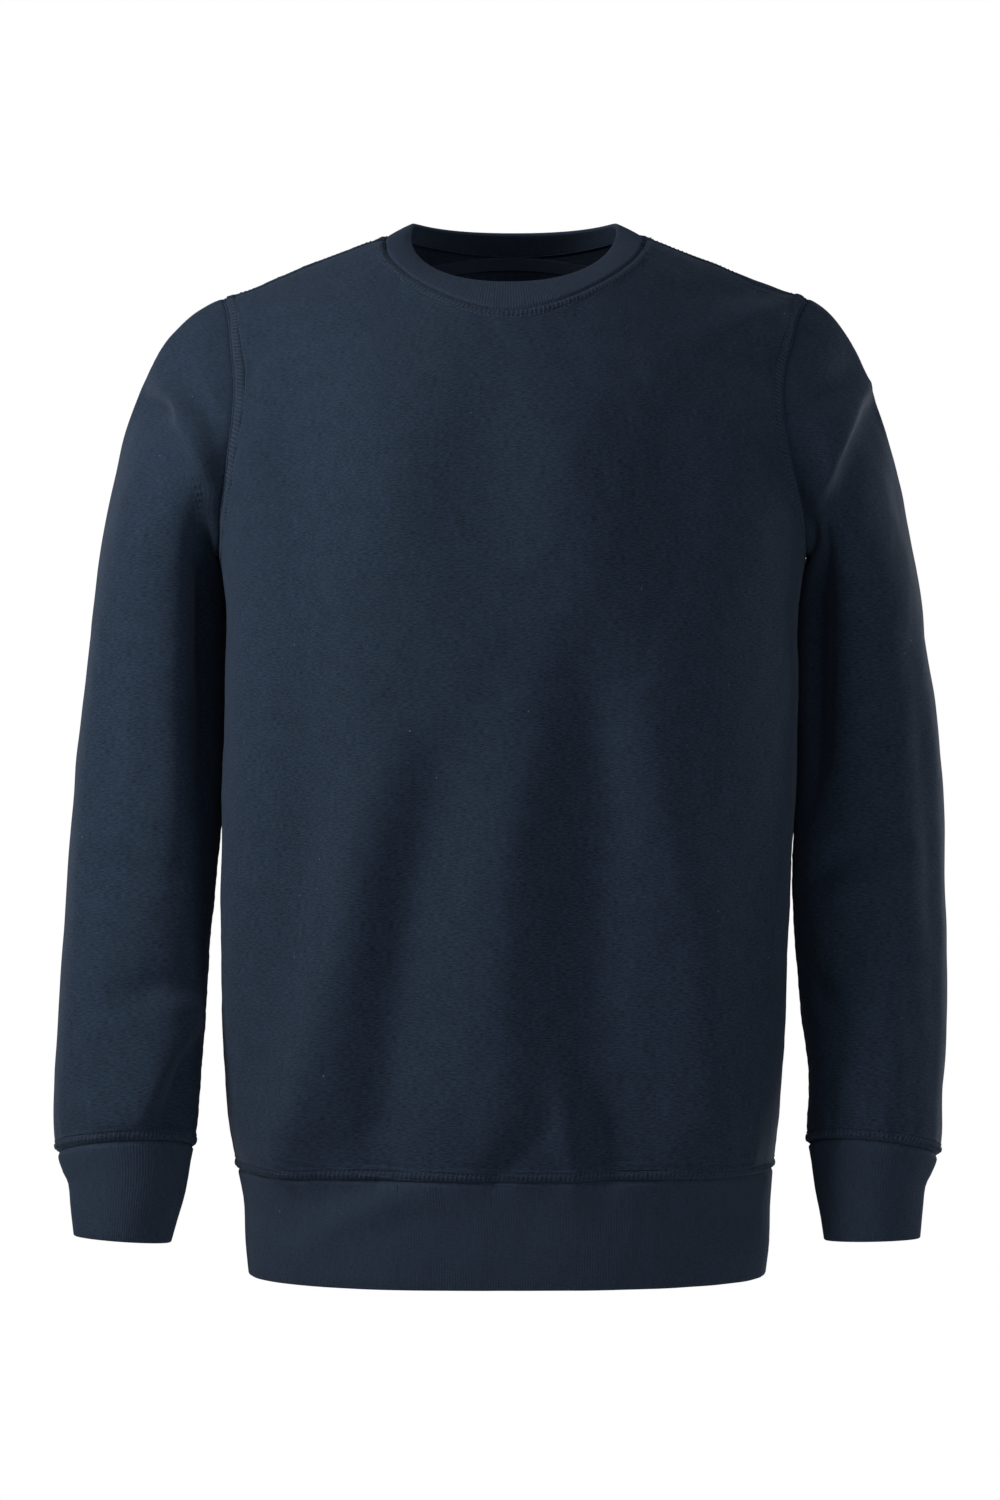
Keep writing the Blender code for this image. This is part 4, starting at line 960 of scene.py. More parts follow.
def armhole_ring(mirrored, fullness, around):
    """Points round a sleeve's end, just clear of the armhole, and how the sleeve leaves each."""
    around = np.mod(around, 2 * pi)
    ahead = around <= pi
    share = np.abs(1 - around / pi)
    in_front, behind = armhole_line(ARMHOLE_FRONT, 1, share), armhole_line(ARMHOLE_BACK, -1, share)
    angle, level = np.where(ahead, in_front, behind)
    if mirrored:
        angle = pi - angle
    fuller = 1 + (fullness - 1) * (1 + np.cos(around)) / 2
    from_top = np.degrees(np.minimum(around, 2 * pi - around))
    knots = along(SLEEVE_LEAVES, "around")
    columns = [along(SLEEVE_LEAVES, name) for name in ("out", "forward", "up")]
    out, forward, up = (through(knots, column, from_top) for column in columns)
    leave = np.stack([out * fuller * (-1 if mirrored else 1), np.where(ahead, -forward, forward), up], -1)
    ring, facing = torso(angle, level), torso_normals(angle, level)
    away = square_to(facing, slope_round(ring))
    away *= np.sign((away * (ring.mean(0) - ring)).sum(-1, keepdims=True))
    return ring + (unit(leave) + away) * SEAM_GAP / 2, leave, facing, away


# %% Sleeve surface
def sleeve_form(rows, cap, around, down):
    """Points of a sleeve, rows from the armhole to the cuff seam."""
    mirrored = rows[0].centre_x < 0
    start, leave = armhole_ring(mirrored, cap.fullness, around)[:2]
    cap_end, cuff_start = rows[CAP_RING].height, rows[CUFF_RING].height
    end, course = sleeve_rings(rows, np.array([cap_end]), around)
    t = (down[down < CAP_SHARE] / CAP_SHARE)[:, None, None]
    cap_rows = (
        (2 * t**3 - 3 * t**2 + 1) * start
        + (t**3 - 2 * t**2 + t) * leave
        + (3 * t**2 - 2 * t**3) * end
        + (t**3 - t**2) * course[:, None] * cap.pull
    )
    share = (down[down >= CAP_SHARE] - CAP_SHARE) / (1 - CAP_SHARE)
    arm = sleeve_rings(rows, cap_end + (cuff_start - cap_end) * share, around)[0]
    return np.concatenate([cap_rows, arm])


def grid_normals(grid):
    """Normals of a tube's grid, whose last column lies on its first."""
    ring = np.concatenate([grid[:, -2:-1], grid, grid[:, 1:2]], axis=1)
    return square_to(ring[:, 2:] - ring[:, :-2], np.gradient(grid, axis=0))


# %% Both sleeves
SLEEVE_HOLD = 0.022
SLEEVE_GIRTH, SLEEVE_LENGTH = 0.40, 0.58  # about; they only set how the rows and columns are spaced
SLEEVE_COLUMN, SLEEVE_ROW = 0.0032, 0.0031  # the widest spacing of columns and rows
GATHER, GATHERS, GATHER_REACH = 0.0007, 23, 0.016
TURN_HEIGHT = 0.004  # over this the cloth turns from the panel's face to the sleeve's own
# the seam allowance: how far it lies under the panel and how far below the panel's face
AllowanceRow = namedtuple("AllowanceRow", "under below")
ALLOWANCE = (AllowanceRow(0.0070, 0.0026), AllowanceRow(0.0045, 0.0027), AllowanceRow(0.0022, 0.0029),
             AllowanceRow(0.0006, 0.0033), AllowanceRow(-0.0001, 0.0022))


def make_sleeve(name, rows, cap, folds):
    mirrored = rows[0].centre_x < 0
    around = pi * (2 * spaced(SLEEVE_GIRTH, SLEEVE_COLUMN) - 1)
    if mirrored:
        around = -around
    down = spaced(SLEEVE_LENGTH, SLEEVE_ROW)
    grid = sleeve_form(rows, cap, around, down)
    normals = grid_normals(grid)
    armhole, wrist, under = grid[0], grid[-1], grid[:, 0]
    to_armhole, to_wrist = distance_to(grid, armhole)[0], distance_to(grid, wrist)[0]
    height = fold_height(grid, normals, folds) + unevenness(grid)
    height *= ease(0, SLEEVE_HOLD, to_armhole) * ease(0, SEAM_HOLD, to_wrist)
    gathers = np.sin(GATHERS * around + 2 * np.sin(3 * around)) * (0.6 + 0.4 * np.sin(5 * around + 1))
    height += GATHER * gathers * np.exp(-to_wrist / GATHER_REACH) * ease(0, 0.004, to_wrist)
    seams = [Seam(armhole, SHALLOW_DIP, ()), Seam(wrist, SEAM_DIP, NEEDLES), Seam(under, SEAM_DIP, ())]
    height += seam_height(grid, seams)
    _, _, facing, away = armhole_ring(mirrored, cap.fullness, around)
    own = ease(0.0004, TURN_HEIGHT, to_armhole)[..., None]
    grid = grid + unit(normals * own + facing * (1 - own)) * height[..., None]
    grid[-1] += unit(grid[-2] - grid[-1]) * SEAM_GAP / 2
    allowance = [armhole - away * row.under - facing * row.below for row in ALLOWANCE]
    grid = np.concatenate([allowance, grid])
    normals = np.concatenate([[facing] * len(ALLOWANCE), normals])
    grid[:, -1] = grid[:, 0]
    piece = lay_cloth(name, grid, normals, tube=True, level_row=-1)
    thicken(piece, CLOTH)
    report(piece, grid)
    return piece, {"armhole": armhole, "wrist": wrist}


sleeve_left, left_lines = make_sleeve("sleeve_left_tube", SLEEVE_LEFT, CAPS["left"], LEFT_FOLDS)
sleeve_right, right_lines = make_sleeve("sleeve_right_tube", SLEEVE_RIGHT, CAPS["right"], RIGHT_FOLDS)

# %% [markdown]
# ## Ribbed bands
# The neckband, the cuffs and the waistband are strips of rib knit, folded lengthwise and sewn on with both
# cut edges in the seam. So each is two layers thick, with a soft rounded fold along its free edge. Knit ribs
# stand up on both faces and run straight from the seam to the fold. Here a band is one grid that runs down
# the outer face, round the fold and up the inner face, and closes into a ring both ways.

# %% Ribbed band
RIB_RELIEF = 0.00018
RIB_PITCH = 0.0018
RIB_COLUMNS = 4  # points round each rib
FOLD_STEPS = 6
JOIN_DIP, JOIN_WIDTH = 0.0006, 0.0012


def band_path(length, faces):
    """Places along a folded band: share of the way from the seam to the fold, and share of its thickness."""
    near_seam = np.array([0, 0.0006, 0.0012, 0.002, 0.0032, 0.005]) / length
    straight = 1 - RIB / 2 / length
    down = np.concatenate([near_seam, np.linspace(near_seam[-1], straight, faces + 1)[1:]])
    turn = np.linspace(0, pi, FOLD_STEPS + 1)[1:-1]
    fold = straight + np.sin(turn) * RIB / 2 / length
    way = np.concatenate([down, fold, down[::-1], down[:1]])
    depth = np.concatenate([np.zeros(len(down)), (1 - np.cos(turn)) / 2, np.ones(len(down)), [0]])
    return way, depth


def make_band(name, form, middle_ring, length, faces, join):
    """A folded band. form(turn, way) gives points and normals of its outer face.

    The join is the turn at which the strip's ends are sewn together.
    """
    around = evenly(middle_ring, 2000)[1]
    ribs = int(round(around / RIB_PITCH))
    turn = evenly(middle_ring, ribs * RIB_COLUMNS)[0]
    way, depth = band_path(length, faces)
    outer, normals = form(turn, way)
    rib = np.cos(2 * pi * np.arange(len(turn)) / RIB_COLUMNS)
    to_join = around * np.abs((turn - join + pi) % (2 * pi) - pi) / (2 * pi)
    rib = rib * ease(0.0004, 0.0024, to_join)
    out = RIB_RELIEF * rib * (1 - 2 * depth[:, None])
    groove = -JOIN_DIP * np.exp(-((to_join / JOIN_WIDTH) ** 2)) * (depth[:, None] < 0.5)
    dip = -SEAM_DIP * np.exp(-((way[:, None] * length / SEAM_DIP_WIDTH) ** 2)) * (depth[:, None] < 0.5)
    grid = outer + normals * (out + groove + dip - depth[:, None] * RIB)[..., None]
    grid[:, -1] = grid[:, 0]
    piece = lay_cloth(name, grid, normals, tube=True, ring=True)
    smooth(piece, 60)
    print(f"{name}: {ribs} ribs, {around:.3f} m round, {2 * len(piece.data.polygons)} triangles")
    return piece


# %% Waistband
WAISTBAND_LENGTH = HEM_DROP - WAIST_SEAM_DROP
WAISTBAND_FACES = 9  # rows of faces from the seam to the fold
WAISTBAND_JOIN = 2 * pi - 0.02  # just behind the right side


def waistband_form(turn, way):
    """From the right side over the front."""
    angle = np.where(turn <= pi, pi - turn, turn - pi)
    drop = WAIST_SEAM_DROP + SEAM_GAP / 2 + WAISTBAND_LENGTH * way[:, None]
    level = np.sqrt(drop) * np.where(turn < pi, 1, -1)
    angle = np.broadcast_to(angle, level.shape)
    normals = torso_normals(angle, level)
    points = torso(angle, level)
    height = body_height(points, normals)
    return points + normals * height[..., None], normals


def at_hem(turn):
    return waistband_form(turn, np.array([0.5]))[0][0]


waistband = make_band(
    "waistband_rib", waistband_form, at_hem, WAISTBAND_LENGTH, WAISTBAND_FACES, join=WAISTBAND_JOIN
)

# %% Neckband
NECKBAND_LENGTH = 0.025


def neckband_edge(turn):
    """The folded top edge, from the right side (0) over the front."""
    cosine, sine = oval(turn, NECKBAND_SQUARENESS)
    x = NECK_CENTRE - NECKBAND_HALF_WIDTH * cosine - NECK_LEAN * np.clip(sine, 0, 1)
    y = NECKBAND_CENTRE_Y - NECKBAND_HALF_DEPTH * sine
    ahead = NECKBAND_DIP_FROM - y
    z = NECKBAND_HEIGHT - NECKBAND_DIP_SLOPE * (ahead + np.hypot(ahead, NECKBAND_DIP_ROUND)) / 2
    return np.stack([x, y, z - NECKBAND_BACK_DIP * np.clip(-sine, 0, 1) ** 2], -1)


def neckband_form(turn, way):
    turn = np.mod(turn, 2 * pi)
    share = np.where(turn < pi, 1 - turn / pi, turn / pi - 1)
    angle, level = np.where(turn < pi, neck_line(1, share), neck_line(-1, share))
    seam, seam_facing = torso(angle, level), torso_normals(angle, level)
    top = neckband_edge(turn)
    up = unit(top - seam)
    away = square_to(seam_facing, slope_round(seam))
    away *= np.sign((away * up).sum(-1, keepdims=True))
    seam = seam + away * SEAM_GAP / 2
    share = way[:, None, None]
    points = seam + (top - seam) * share
    facing = square_to(slope_round((seam + top) / 2), up)
    facing *= np.sign((facing * seam_facing).sum(-1, keepdims=True))
    near_seam = ease(0.25, 0, share)
    normals = unit(facing * (1 - near_seam) + seam_facing * near_seam)
    return points + facing * NECKBAND_BULGE * 4 * share * (1 - share), normals


def at_neck(turn):
    return neckband_form(turn, np.array([0.5]))[0][0]


neckband = make_band("neckband_rib", neckband_form, at_neck, NECKBAND_LENGTH, 6, join=3.45)

# %% Cuffs
def make_cuff(name, rows):
    start, end = rows[CUFF_RING].height, rows[-1].height

    def cuff_form(turn, way):
        height = start - SEAM_GAP / 2 + (end - start) * way
        points, below = (sleeve_rings(rows, height - step, turn)[0] for step in (0, 0.001))
        around = np.concatenate([points[:, -2:-1], points, points[:, 1:2]], axis=1)
        normals = square_to(around[:, 2:] - around[:, :-2], below - points)
        outward = points - sleeve_centres(rows, -height)[:, None]
        return points, normals * np.sign((normals * outward).sum(-1, keepdims=True))

    def at_middle(turn):
        return sleeve_rings(rows, np.array([(start + end) / 2]), turn)[0][0]

    return make_band(name, cuff_form, at_middle, start - end, 8, join=pi)


cuff_left = make_cuff("cuff_left_rib", SLEEVE_LEFT)
cuff_right = make_cuff("cuff_right_rib", SLEEVE_RIGHT)

# %% [markdown]
# ## Neck tape
# Inside the back of the neck a narrow woven tape covers the seam. It lies on the inner face of the back, so
# its points are the back's own, taken at set distances below the top edge and moved inwards. On a real
# garment the tape follows the neck seam and ends at the two shoulder seams. This strip is longer than that:
# panel_cut spreads the columns that it is given over the whole width of the back, so the strip follows the
# neck seam only near the middle and runs on under the shoulders as far as their points.

# %% Neck tape
TAPE_START, TAPE_CLEARANCE = 0.0010, 0.00055
TAPE_INSET = 0.008  # share of the columns left out at each end


def below_neck(across, distances):
    """Points and normals of the back at set distances down from its top edge."""
    up = np.linspace(1, 0.9, 200)
    angle, level = panel_cut(ARMHOLE_BACK, -1, across, up)
    steps = np.linalg.norm(np.diff(torso(angle, level), axis=0), axis=2)
    length = np.pad(steps.cumsum(0), ((1, 0), (0, 0)))
    columns = range(len(across))
    angle = np.stack([np.interp(distances, length[:, c], angle[:, c]) for c in columns], 1)
    level = np.stack([np.interp(distances, length[:, c], level[:, c]) for c in columns], 1)
    return torso(angle, level), torso_normals(angle, level)


across = np.linspace(SHOULDER_SHARE + TAPE_INSET, 1 - SHOULDER_SHARE - TAPE_INSET, 120)
tape_grid, tape_facing = below_neck(across, TAPE_START + np.linspace(0, NECK_TAPE_WIDTH - 0.0005, 9))
tape_grid = tape_grid - tape_facing * (CLOTH + TAPE_CLEARANCE + TAPE)
neck_tape = lay_cloth("neck_tape_strip", tape_grid, -tape_facing)
thicken(neck_tape, TAPE * 0.85, 60)
report(neck_tape, tape_grid)

# %% [markdown]
# ## Stitching
# A twin needle leaves two rows of straight stitches side by side on the face of the cloth, and its cover
# thread runs to and fro between them. One thread is modelled, pressed in at both ends, and copied along the
# lines of the seams: short and along the seam in the needle rows, longer and nearly square to the seam
# between them. Each copy finds the surface of its own panel, so the rows follow every fold.

# %% One stitch
THREAD = 0.0009
STITCH_PITCH, STITCH_LENGTH = 0.0031, 0.0025
COVER_SLANT = 72  # degrees between the cover thread and the seam
STITCH_SINK = -0.00015  # below zero: the thread's middle stands a little above the cloth
PROBE_REACH = 0.006  # how far from a seam the side of its piece is looked for
ThreadRow = namedtuple("ThreadRow", "from_seam pitch length slant")
TWIN_NEEDLE, WIDE_TWIN_NEEDLE = (
    (ThreadRow(near, STITCH_PITCH, STITCH_LENGTH, 0), ThreadRow(far, STITCH_PITCH, STITCH_LENGTH, 0),
     ThreadRow((near + far) / 2, STITCH_PITCH, far - near, COVER_SLANT))
    for near, far in (NEEDLES, WIDE_NEEDLES)
)
TAPE_NEEDLES = (0.0008, 0.0098)  # distances of the two rows from the tape's top edge
TAPE_ROWS = tuple(ThreadRow(place, STITCH_PITCH, STITCH_LENGTH, 0) for place in TAPE_NEEDLES)
bpy.ops.object.select_all(action="DESELECT")
bpy.ops.mesh.primitive_uv_sphere_add(segments=4, ring_count=4, radius=0.5, rotation=(0, pi / 2, 0))
stitch = bpy.context.active_object
stitch.name = "one_stitch"
bpy.ops.object.transform_apply(location=False, rotation=True, scale=False)
stitch.scale = (1, THREAD, THREAD * 0.8)
bpy.ops.object.transform_apply(location=False, rotation=False, scale=True)
stitch_points = np.array([vertex.co for vertex in stitch.data.vertices])
stitch_points[:, 2] -= THREAD * 0.5 * np.abs(2 * stitch_points[:, 0]) ** 3
stitch_faces = [tuple(face.vertices) for face in stitch.data.polygons]
bpy.data.objects.remove(stitch, do_unlink=True)


def spots(line, pitch, values):
    """Values given along a line, read at even distances."""
    length = np.append(0, np.cumsum(np.linalg.norm(np.diff(line, axis=0), axis=1)))
    at = np.arange(pitch / 2, length[-1], pitch)
    return np.stack([np.interp(at, length, values[:, axis]) for axis in range(3)], -1)


def on_face(piece, points, normals):
    """Where lines along the normals meet the piece, coming from outside. Points that miss are left out."""
    found = []
    for point, normal in zip(points, normals):
        hit, place, facing, _ = piece.ray_cast(Vector(point + normal * 0.012), Vector(-normal), distance=0.03)
        if hit:
            found.append((place, facing))
    return np.array(found).reshape(-1, 2, 3)


def inwards_from(piece, line, normals):
    """The way from a seam into the piece, square to the seam."""
    inwards = square_to(normals, np.gradient(line, axis=0))
    probe = np.s_[5:-5:9]
    met = [
        len(on_face(piece, line[probe] + side * inwards[probe] * PROBE_REACH, normals[probe]))
        for side in (1, -1)
    ]
    return inwards if met[0] > met[1] else -inwards


def sew(name, piece, lines):
    """Rows of stitches on a piece, along lines given with their normals and rows."""
    made = []
    for line, normals, thread_rows in lines:
        inwards = inwards_from(piece, line, normals)
        for row in thread_rows:
            course = line + inwards * row.from_seam
            place = on_face(piece, spots(course, row.pitch, course), spots(course, row.pitch, normals))
            if len(place) < 3:
                continue
            point, facing = place[:, 0], unit(place[:, 1])
            way = unit(np.gradient(point, axis=0))
            side, slant = square_to(facing, way), np.radians(row.slant)
            turned = unit(way * np.cos(slant) + side * np.sin(slant))
            frames = np.stack([turned * row.length, square_to(facing, turned), facing], 1)
            made.append(point[:, None] - facing[:, None] * STITCH_SINK + stitch_points @ frames)
    points = np.concatenate(made)
    first = len(stitch_points) * np.arange(len(points))
    faces = [tuple(corner + start for corner in face) for start in first.tolist() for face in stitch_faces]
    mesh = bpy.data.meshes.new(name)
    mesh.from_pydata(points.reshape(-1, 3).tolist(), [], faces)
    rows = bpy.data.objects.new(name, mesh)
    scene.collection.objects.link(rows)
    smooth(rows, 80)
    print(f"{name}: {len(points)} stitches")
    return rows


# %% Sewing
def seam_line(angle, level, thread_rows=TWIN_NEEDLE):
    return torso(angle, level), torso_normals(angle, level), thread_rows


def panel_lines(rows, side):
    share = np.linspace(0.012, 0.995, 240)
    angle, level = armhole_line(rows, side, share)
    waist = pi * np.linspace(0.004, 0.996, 400)
    return [
        seam_line(angle, level, WIDE_TWIN_NEEDLE),
        seam_line(pi - angle, level, WIDE_TWIN_NEEDLE),
        seam_line(*neck_line(side, np.linspace(0.01, 0.99, 300))),
        seam_line(waist, np.full(400, side * WAIST_SEAM_DROP**0.5)),
    ]


shoulder_ends = neck_line(-1, np.array([0.0, 1.0]))[0]
shoulder_point = np.radians(SHOULDER_POINT_ANGLE)
CLEAR_OF_ARMHOLE, CLEAR_OF_NECK = 0.02, 0.04  # radians by which the rows stop short of a shoulder seam's ends
shoulder_spans = (
    (shoulder_point + CLEAR_OF_ARMHOLE, shoulder_ends[0] - CLEAR_OF_NECK),
    (shoulder_ends[1] + CLEAR_OF_NECK, pi - shoulder_point - CLEAR_OF_ARMHOLE),
)
shoulders = [
    seam_line(np.linspace(start, end, 120), np.full(120, SHOULDER_SEAM_LEVEL))
    for start, end in shoulder_spans
]


def wrist_line(rows):
    turn = np.linspace(-pi, pi, 240)
    height = np.array([rows[CUFF_RING].height])
    ring = sleeve_rings(rows, height, turn)[0][0]
    return ring, unit((ring - sleeve_centres(rows, -height)) * (1, 1, 0)), TWIN_NEEDLE


stitches_front = sew("stitches_front", front, panel_lines(ARMHOLE_FRONT, 1))
stitches_back = sew("stitches_back", back, panel_lines(ARMHOLE_BACK, -1) + shoulders)
stitches_left = sew("stitches_wrist_left", sleeve_left, [wrist_line(SLEEVE_LEFT)])
stitches_right = sew("stitches_wrist_right", sleeve_right, [wrist_line(SLEEVE_RIGHT)])
stitches_tape = sew("stitches_tape", neck_tape, [(tape_grid[0], -tape_facing[0], TAPE_ROWS)])

# %% [markdown]
# ## Yarn
# Brushed fleece is never one flat colour. The fibres of the face lie over each other in short level streaks,
# some lighter and some darker, and tiny pale fibres of lint stick to it. Three node groups hold this, and all
# read the flat sizes of the cloth, in metres: one gives a shade and a height for the streaks, one the height
# of the tape's herringbone weave, and one a sparse mask for the lint. Each material decides what to do with
# them.

# %% Node helpers
def group(name, inputs, outputs):
    """A new node group, with the places where its values come in and go out."""
    made = bpy.data.node_groups.new(name, "ShaderNodeTree")
    for label, kind in inputs:
        made.interface.new_socket(label, in_out="INPUT", socket_type=kind)
    for label, kind in outputs:
        made.interface.new_socket(label, in_out="OUTPUT", socket_type=kind)
    return made, made.nodes.new("NodeGroupInput"), made.nodes.new("NodeGroupOutput")


def node(tree, kind, inputs=(), **settings):
    """A node with its settings. Each input is a value or another node's output."""
    made = tree.nodes.new(kind)
    for name, value in settings.items():
        setattr(made, name, value)
    for key, value in dict(inputs).items():
        if isinstance(value, bpy.types.NodeSocket):
            tree.links.new(value, made.inputs[key])
        else:
            made.inputs[key].default_value = value
    return made


def maths(tree, operation, *values):
    return node(tree, "ShaderNodeMath", dict(enumerate(values)), operation=operation).outputs[0]


# %% Streaks of the yarn
COARSE, FINE, BROAD = 900.0, 1500.0, 60.0  # scales of the noise, over a metre of cloth
COARSE_SHARE, FINE_SHARE, BROAD_SHARE = 0.55, 0.35, 0.10  # of the shade
COARSE_RELIEF = 0.5  # of the height, beside 1 for the fine noise
STREAK_SQUEEZE = 0.22  # across the cloth, which draws the streaks out along its rows
streaks, into, out = group(
    "yarn_streaks", [("Place", "NodeSocketVector"), ("Fineness", "NodeSocketFloat")],
    [("Shade", "NodeSocketFloat"), ("Height", "NodeSocketFloat")],
)
flat = node(streaks, "ShaderNodeVectorMath", {
    0: into.outputs["Place"], 3: into.outputs["Fineness"],
}, operation="SCALE")
level_streaks = node(
    streaks, "ShaderNodeMapping", {"Vector": flat.outputs[0], "Scale": (STREAK_SQUEEZE, 1.0, 1.0)}
)
coarse = node(streaks, "ShaderNodeTexNoise", {
    "Vector": level_streaks.outputs[0], "Scale": COARSE, "Detail": 2.0, "Roughness": 0.6,
})
fine = node(streaks, "ShaderNodeTexNoise", {
    "Vector": flat.outputs[0], "Scale": FINE, "Detail": 2.0, "Roughness": 0.7,
})
broad = node(streaks, "ShaderNodeTexNoise", {"Vector": flat.outputs[0], "Scale": BROAD, "Detail": 2.0})
coarse_shade = maths(streaks, "MULTIPLY", coarse.outputs[0], COARSE_SHARE)
fine_shade = maths(streaks, "MULTIPLY", fine.outputs[0], FINE_SHARE)
shade = maths(streaks, "ADD", coarse_shade, fine_shade)
shade = maths(streaks, "ADD", shade, maths(streaks, "MULTIPLY", broad.outputs[0], BROAD_SHARE))
streaks.links.new(shade, out.inputs["Shade"])
coarse_height = maths(streaks, "MULTIPLY", coarse.outputs[0], COARSE_RELIEF)
streaks.links.new(maths(streaks, "ADD", coarse_height, fine.outputs[0]), out.inputs["Height"])

# %% Herringbone
CHEVRON, WEFT = 0.0024, 0.0006  # half the width of a chevron and of a yarn's wave
WEFT_HEIGHT = 1600.0  # brings the height of the wave to about one
weave, into, out = group("herringbone", [("Place", "NodeSocketVector")], [("Height", "NodeSocketFloat")])
axes = node(weave, "ShaderNodeSeparateXYZ", {0: into.outputs["Place"]})
slanted = maths(weave, "ADD", axes.outputs[1], maths(weave, "PINGPONG", axes.outputs[0], CHEVRON))
wave = maths(weave, "PINGPONG", slanted, WEFT)
weave.links.new(maths(weave, "MULTIPLY", wave, WEFT_HEIGHT), out.inputs["Height"])

# %% Lint
LINT_CELLS = 110.0  # cells over a metre; a chosen share of them holds a speck
LINT_BEND, LINT_BEND_SCALE = 0.0012, 700.0  # how far the specks are bent out of round, and by what noise
LINT_EDGE = (0.060, 0.025)  # from the outside of a speck's edge to its inside
lint, into, out = group(
    "lint", [("Place", "NodeSocketVector"), ("Share", "NodeSocketFloat")], [("Mask", "NodeSocketFloat")]
)
bent = node(lint, "ShaderNodeTexNoise", {"Vector": into.outputs["Place"], "Scale": LINT_BEND_SCALE})
shift = node(lint, "ShaderNodeVectorMath", {0: bent.outputs["Color"], 3: LINT_BEND}, operation="SCALE")
moved = node(lint, "ShaderNodeVectorMath", {0: into.outputs["Place"], 1: shift.outputs[0]}, operation="ADD")
cells = node(lint, "ShaderNodeTexVoronoi", {"Vector": moved.outputs[0], "Scale": LINT_CELLS})
dots = node(lint, "ShaderNodeMapRange", {
    "Value": cells.outputs["Distance"], "From Min": LINT_EDGE[0], "From Max": LINT_EDGE[1],
})
chosen = node(lint, "ShaderNodeSeparateColor", {"Color": cells.outputs["Color"]})
few = maths(lint, "LESS_THAN", chosen.outputs[0], into.outputs["Share"])
lint.links.new(maths(lint, "MULTIPLY", dots.outputs[0], few), out.inputs["Mask"])

# %% Cloth materials
Yarn = namedtuple("Yarn", "name colour contrast fineness bump roughness sheen lint weave")
SHEEN_TINT = (0.60, 0.72, 1.0, 1)
LINT_COLOUR = (0.16, 0.20, 0.27, 1)
SPECULAR, SHEEN_ROUGHNESS = 0.18, 0.5
SHADE_RANGE = (0.35, 0.65)  # the grain's shades between which the colour goes from dark to light
WEAVE_SHADE = 0.4  # how much the weave's height lightens the colour
GRAIN_RELIEF = 0.0006  # height of the grain
YARNS = (
    Yarn("fleece", (0.0135, 0.0245, 0.0440), 0.66, 1.25, 0.28, 0.92, 0.08, 0.06, 0.0),
    Yarn("rib_knit", (0.0190, 0.0315, 0.0540), 0.36, 1.3, 0.30, 0.90, 0.08, 0.05, 0.0),
    Yarn("thread", (0.0270, 0.0400, 0.0630), 0.20, 2.0, 0.10, 0.75, 0.10, 0.0, 0.0),
    Yarn("woven_tape", (0.0190, 0.0270, 0.0440), 0.40, 1.5, 0.50, 0.85, 0.08, 0.0, 0.7),
)

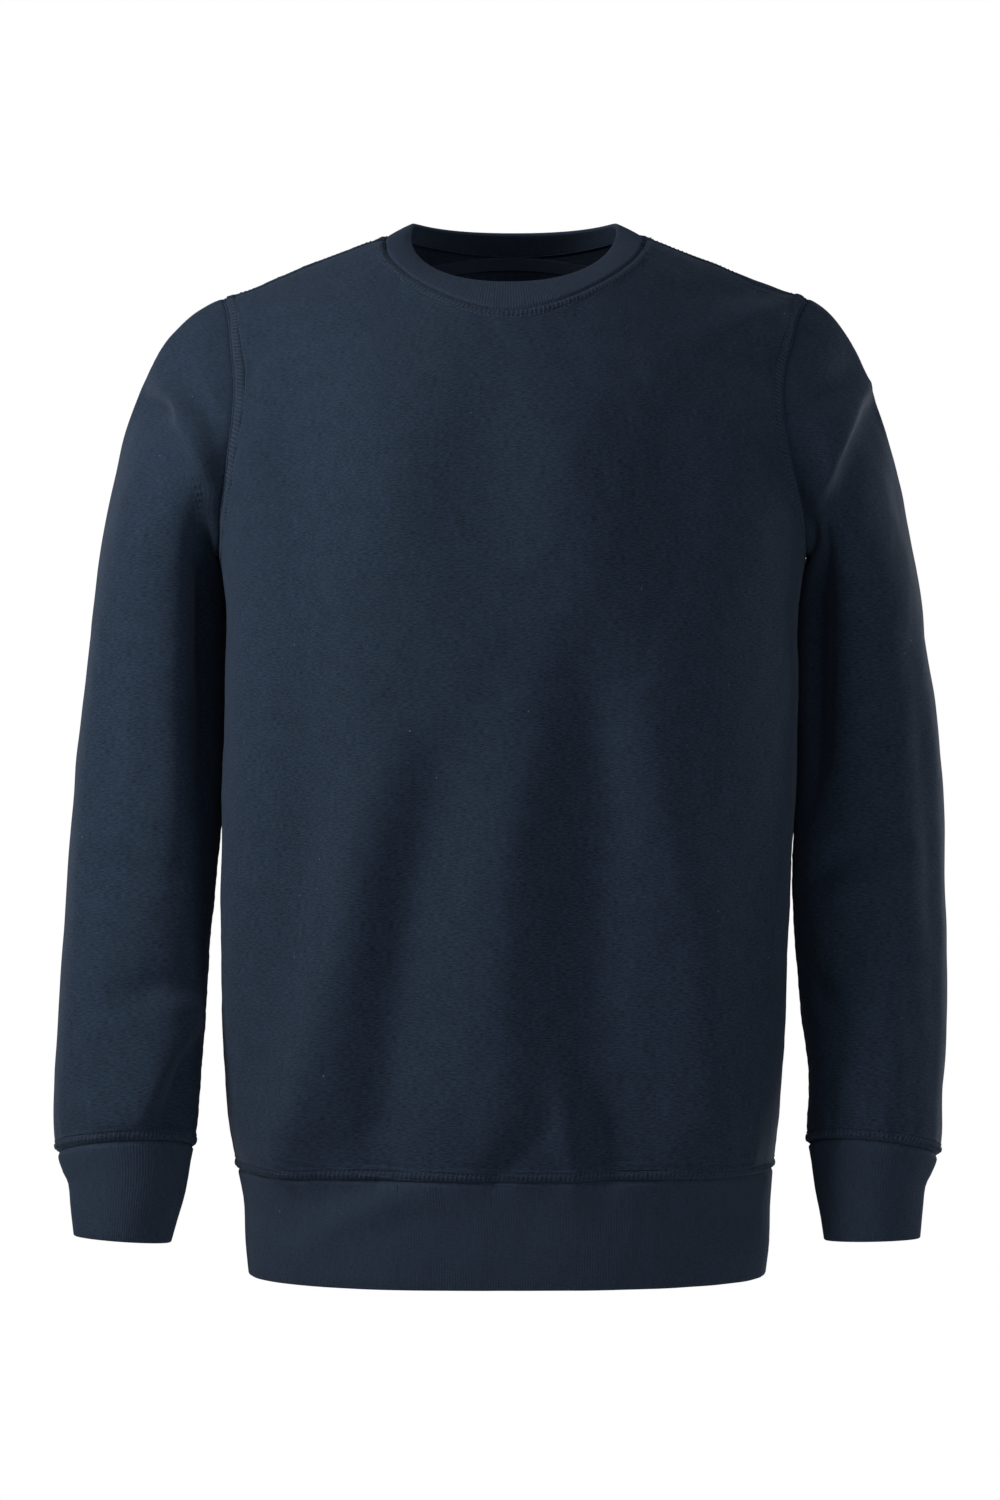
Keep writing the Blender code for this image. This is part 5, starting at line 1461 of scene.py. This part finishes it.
materials = {}
for yarn in YARNS:
    material = bpy.data.materials.new(yarn.name + "_cloth")
    material.use_nodes = True
    tree = material.node_tree
    shader = tree.nodes["Principled BSDF"]
    cut = node(tree, "ShaderNodeUVMap", uv_map="cut").outputs[0]
    grain = node(tree, "ShaderNodeGroup", node_tree=streaks)
    tree.links.new(cut, grain.inputs["Place"])
    grain.inputs["Fineness"].default_value = yarn.fineness
    herringbone = node(tree, "ShaderNodeGroup", node_tree=weave)
    tree.links.new(cut, herringbone.inputs["Place"])
    woven = maths(tree, "MULTIPLY", herringbone.outputs["Height"], yarn.weave)
    light = node(tree, "ShaderNodeMapRange", {
        "Value": maths(tree, "MULTIPLY_ADD", woven, WEAVE_SHADE, grain.outputs["Shade"]),
        "From Min": SHADE_RANGE[0], "From Max": SHADE_RANGE[1],
        "To Min": 1 - yarn.contrast, "To Max": 1 + yarn.contrast,
    }, clamp=True)
    base = node(tree, "ShaderNodeVectorMath", {0: yarn.colour, 3: light.outputs[0]}, operation="SCALE")
    specks = node(tree, "ShaderNodeGroup", node_tree=lint)
    tree.links.new(cut, specks.inputs["Place"])
    specks.inputs["Share"].default_value = yarn.lint
    mixed = node(tree, "ShaderNodeMix", data_type="RGBA")
    tree.links.new(specks.outputs["Mask"], mixed.inputs[0])
    tree.links.new(base.outputs[0], mixed.inputs[6])
    mixed.inputs[7].default_value = LINT_COLOUR
    tree.links.new(mixed.outputs[2], shader.inputs["Base Color"])
    height = maths(tree, "ADD", grain.outputs["Height"], woven)
    bump = node(tree, "ShaderNodeBump", {"Strength": yarn.bump, "Distance": GRAIN_RELIEF, "Height": height})
    tree.links.new(bump.outputs[0], shader.inputs["Normal"])
    shader.inputs["Roughness"].default_value = yarn.roughness
    shader.inputs["Specular IOR Level"].default_value = SPECULAR
    shader.inputs["Sheen Weight"].default_value = yarn.sheen
    shader.inputs["Sheen Roughness"].default_value = SHEEN_ROUGHNESS
    shader.inputs["Sheen Tint"].default_value = SHEEN_TINT
    materials[yarn.name] = material

for piece, name in (
    (front, "fleece"), (back, "fleece"), (sleeve_left, "fleece"), (sleeve_right, "fleece"),
    (waistband, "rib_knit"), (neckband, "rib_knit"), (cuff_left, "rib_knit"), (cuff_right, "rib_knit"),
    (neck_tape, "woven_tape"),
    (stitches_front, "thread"), (stitches_back, "thread"), (stitches_tape, "thread"),
    (stitches_left, "thread"), (stitches_right, "thread"),
):
    piece.data.materials.clear()
    piece.data.materials.append(materials[name])

# %% [markdown]
# ## What each piece is
# Every piece takes the place of its solid, which is hidden, and the piece and its stitches are attached to
# the root. The table also lists the size of each sheet's flat cut.

Sheet = namedtuple("Sheet", "piece node slot flat area held rests_on sewn")
SHEETS = (
    Sheet(front, "front", "fleece", (0.605, 0.69), 0.323, "hung", ("neckband",), (stitches_front,)),
    Sheet(back, "back", "fleece", (0.565, 0.73), 0.333, "hung", ("neckband",), (stitches_back,)),
    Sheet(
        sleeve_left, "sleeve_left", "fleece", (0.50, 0.635), 0.187, "hung", ("front", "back"),
        (stitches_left,),
    ),
    Sheet(
        sleeve_right, "sleeve_right", "fleece", (0.50, 0.635), 0.190, "hung", ("front", "back"),
        (stitches_right,),
    ),
    Sheet(cuff_left, "cuff_left", "rib_knit", (0.235, 0.064), None, "stretched", ("sleeve_left",), ()),
    Sheet(cuff_right, "cuff_right", "rib_knit", (0.235, 0.064), None, "stretched", ("sleeve_right",), ()),
    Sheet(waistband, "waistband", "rib_knit", (0.985, 0.072), None, "stretched", ("front", "back"), ()),
    Sheet(neckband, "neckband", "rib_knit", (0.525, 0.025), None, "stretched", ("front", "back"), ()),
    Sheet(neck_tape, "neck_tape", "neck_tape", (0.275, 0.0110), None, "laid", ("back",), (stitches_tape,)),
)
for row in SHEETS:
    for piece in (row.piece, *row.sewn):
        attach(piece, "root")
    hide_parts(row.node)
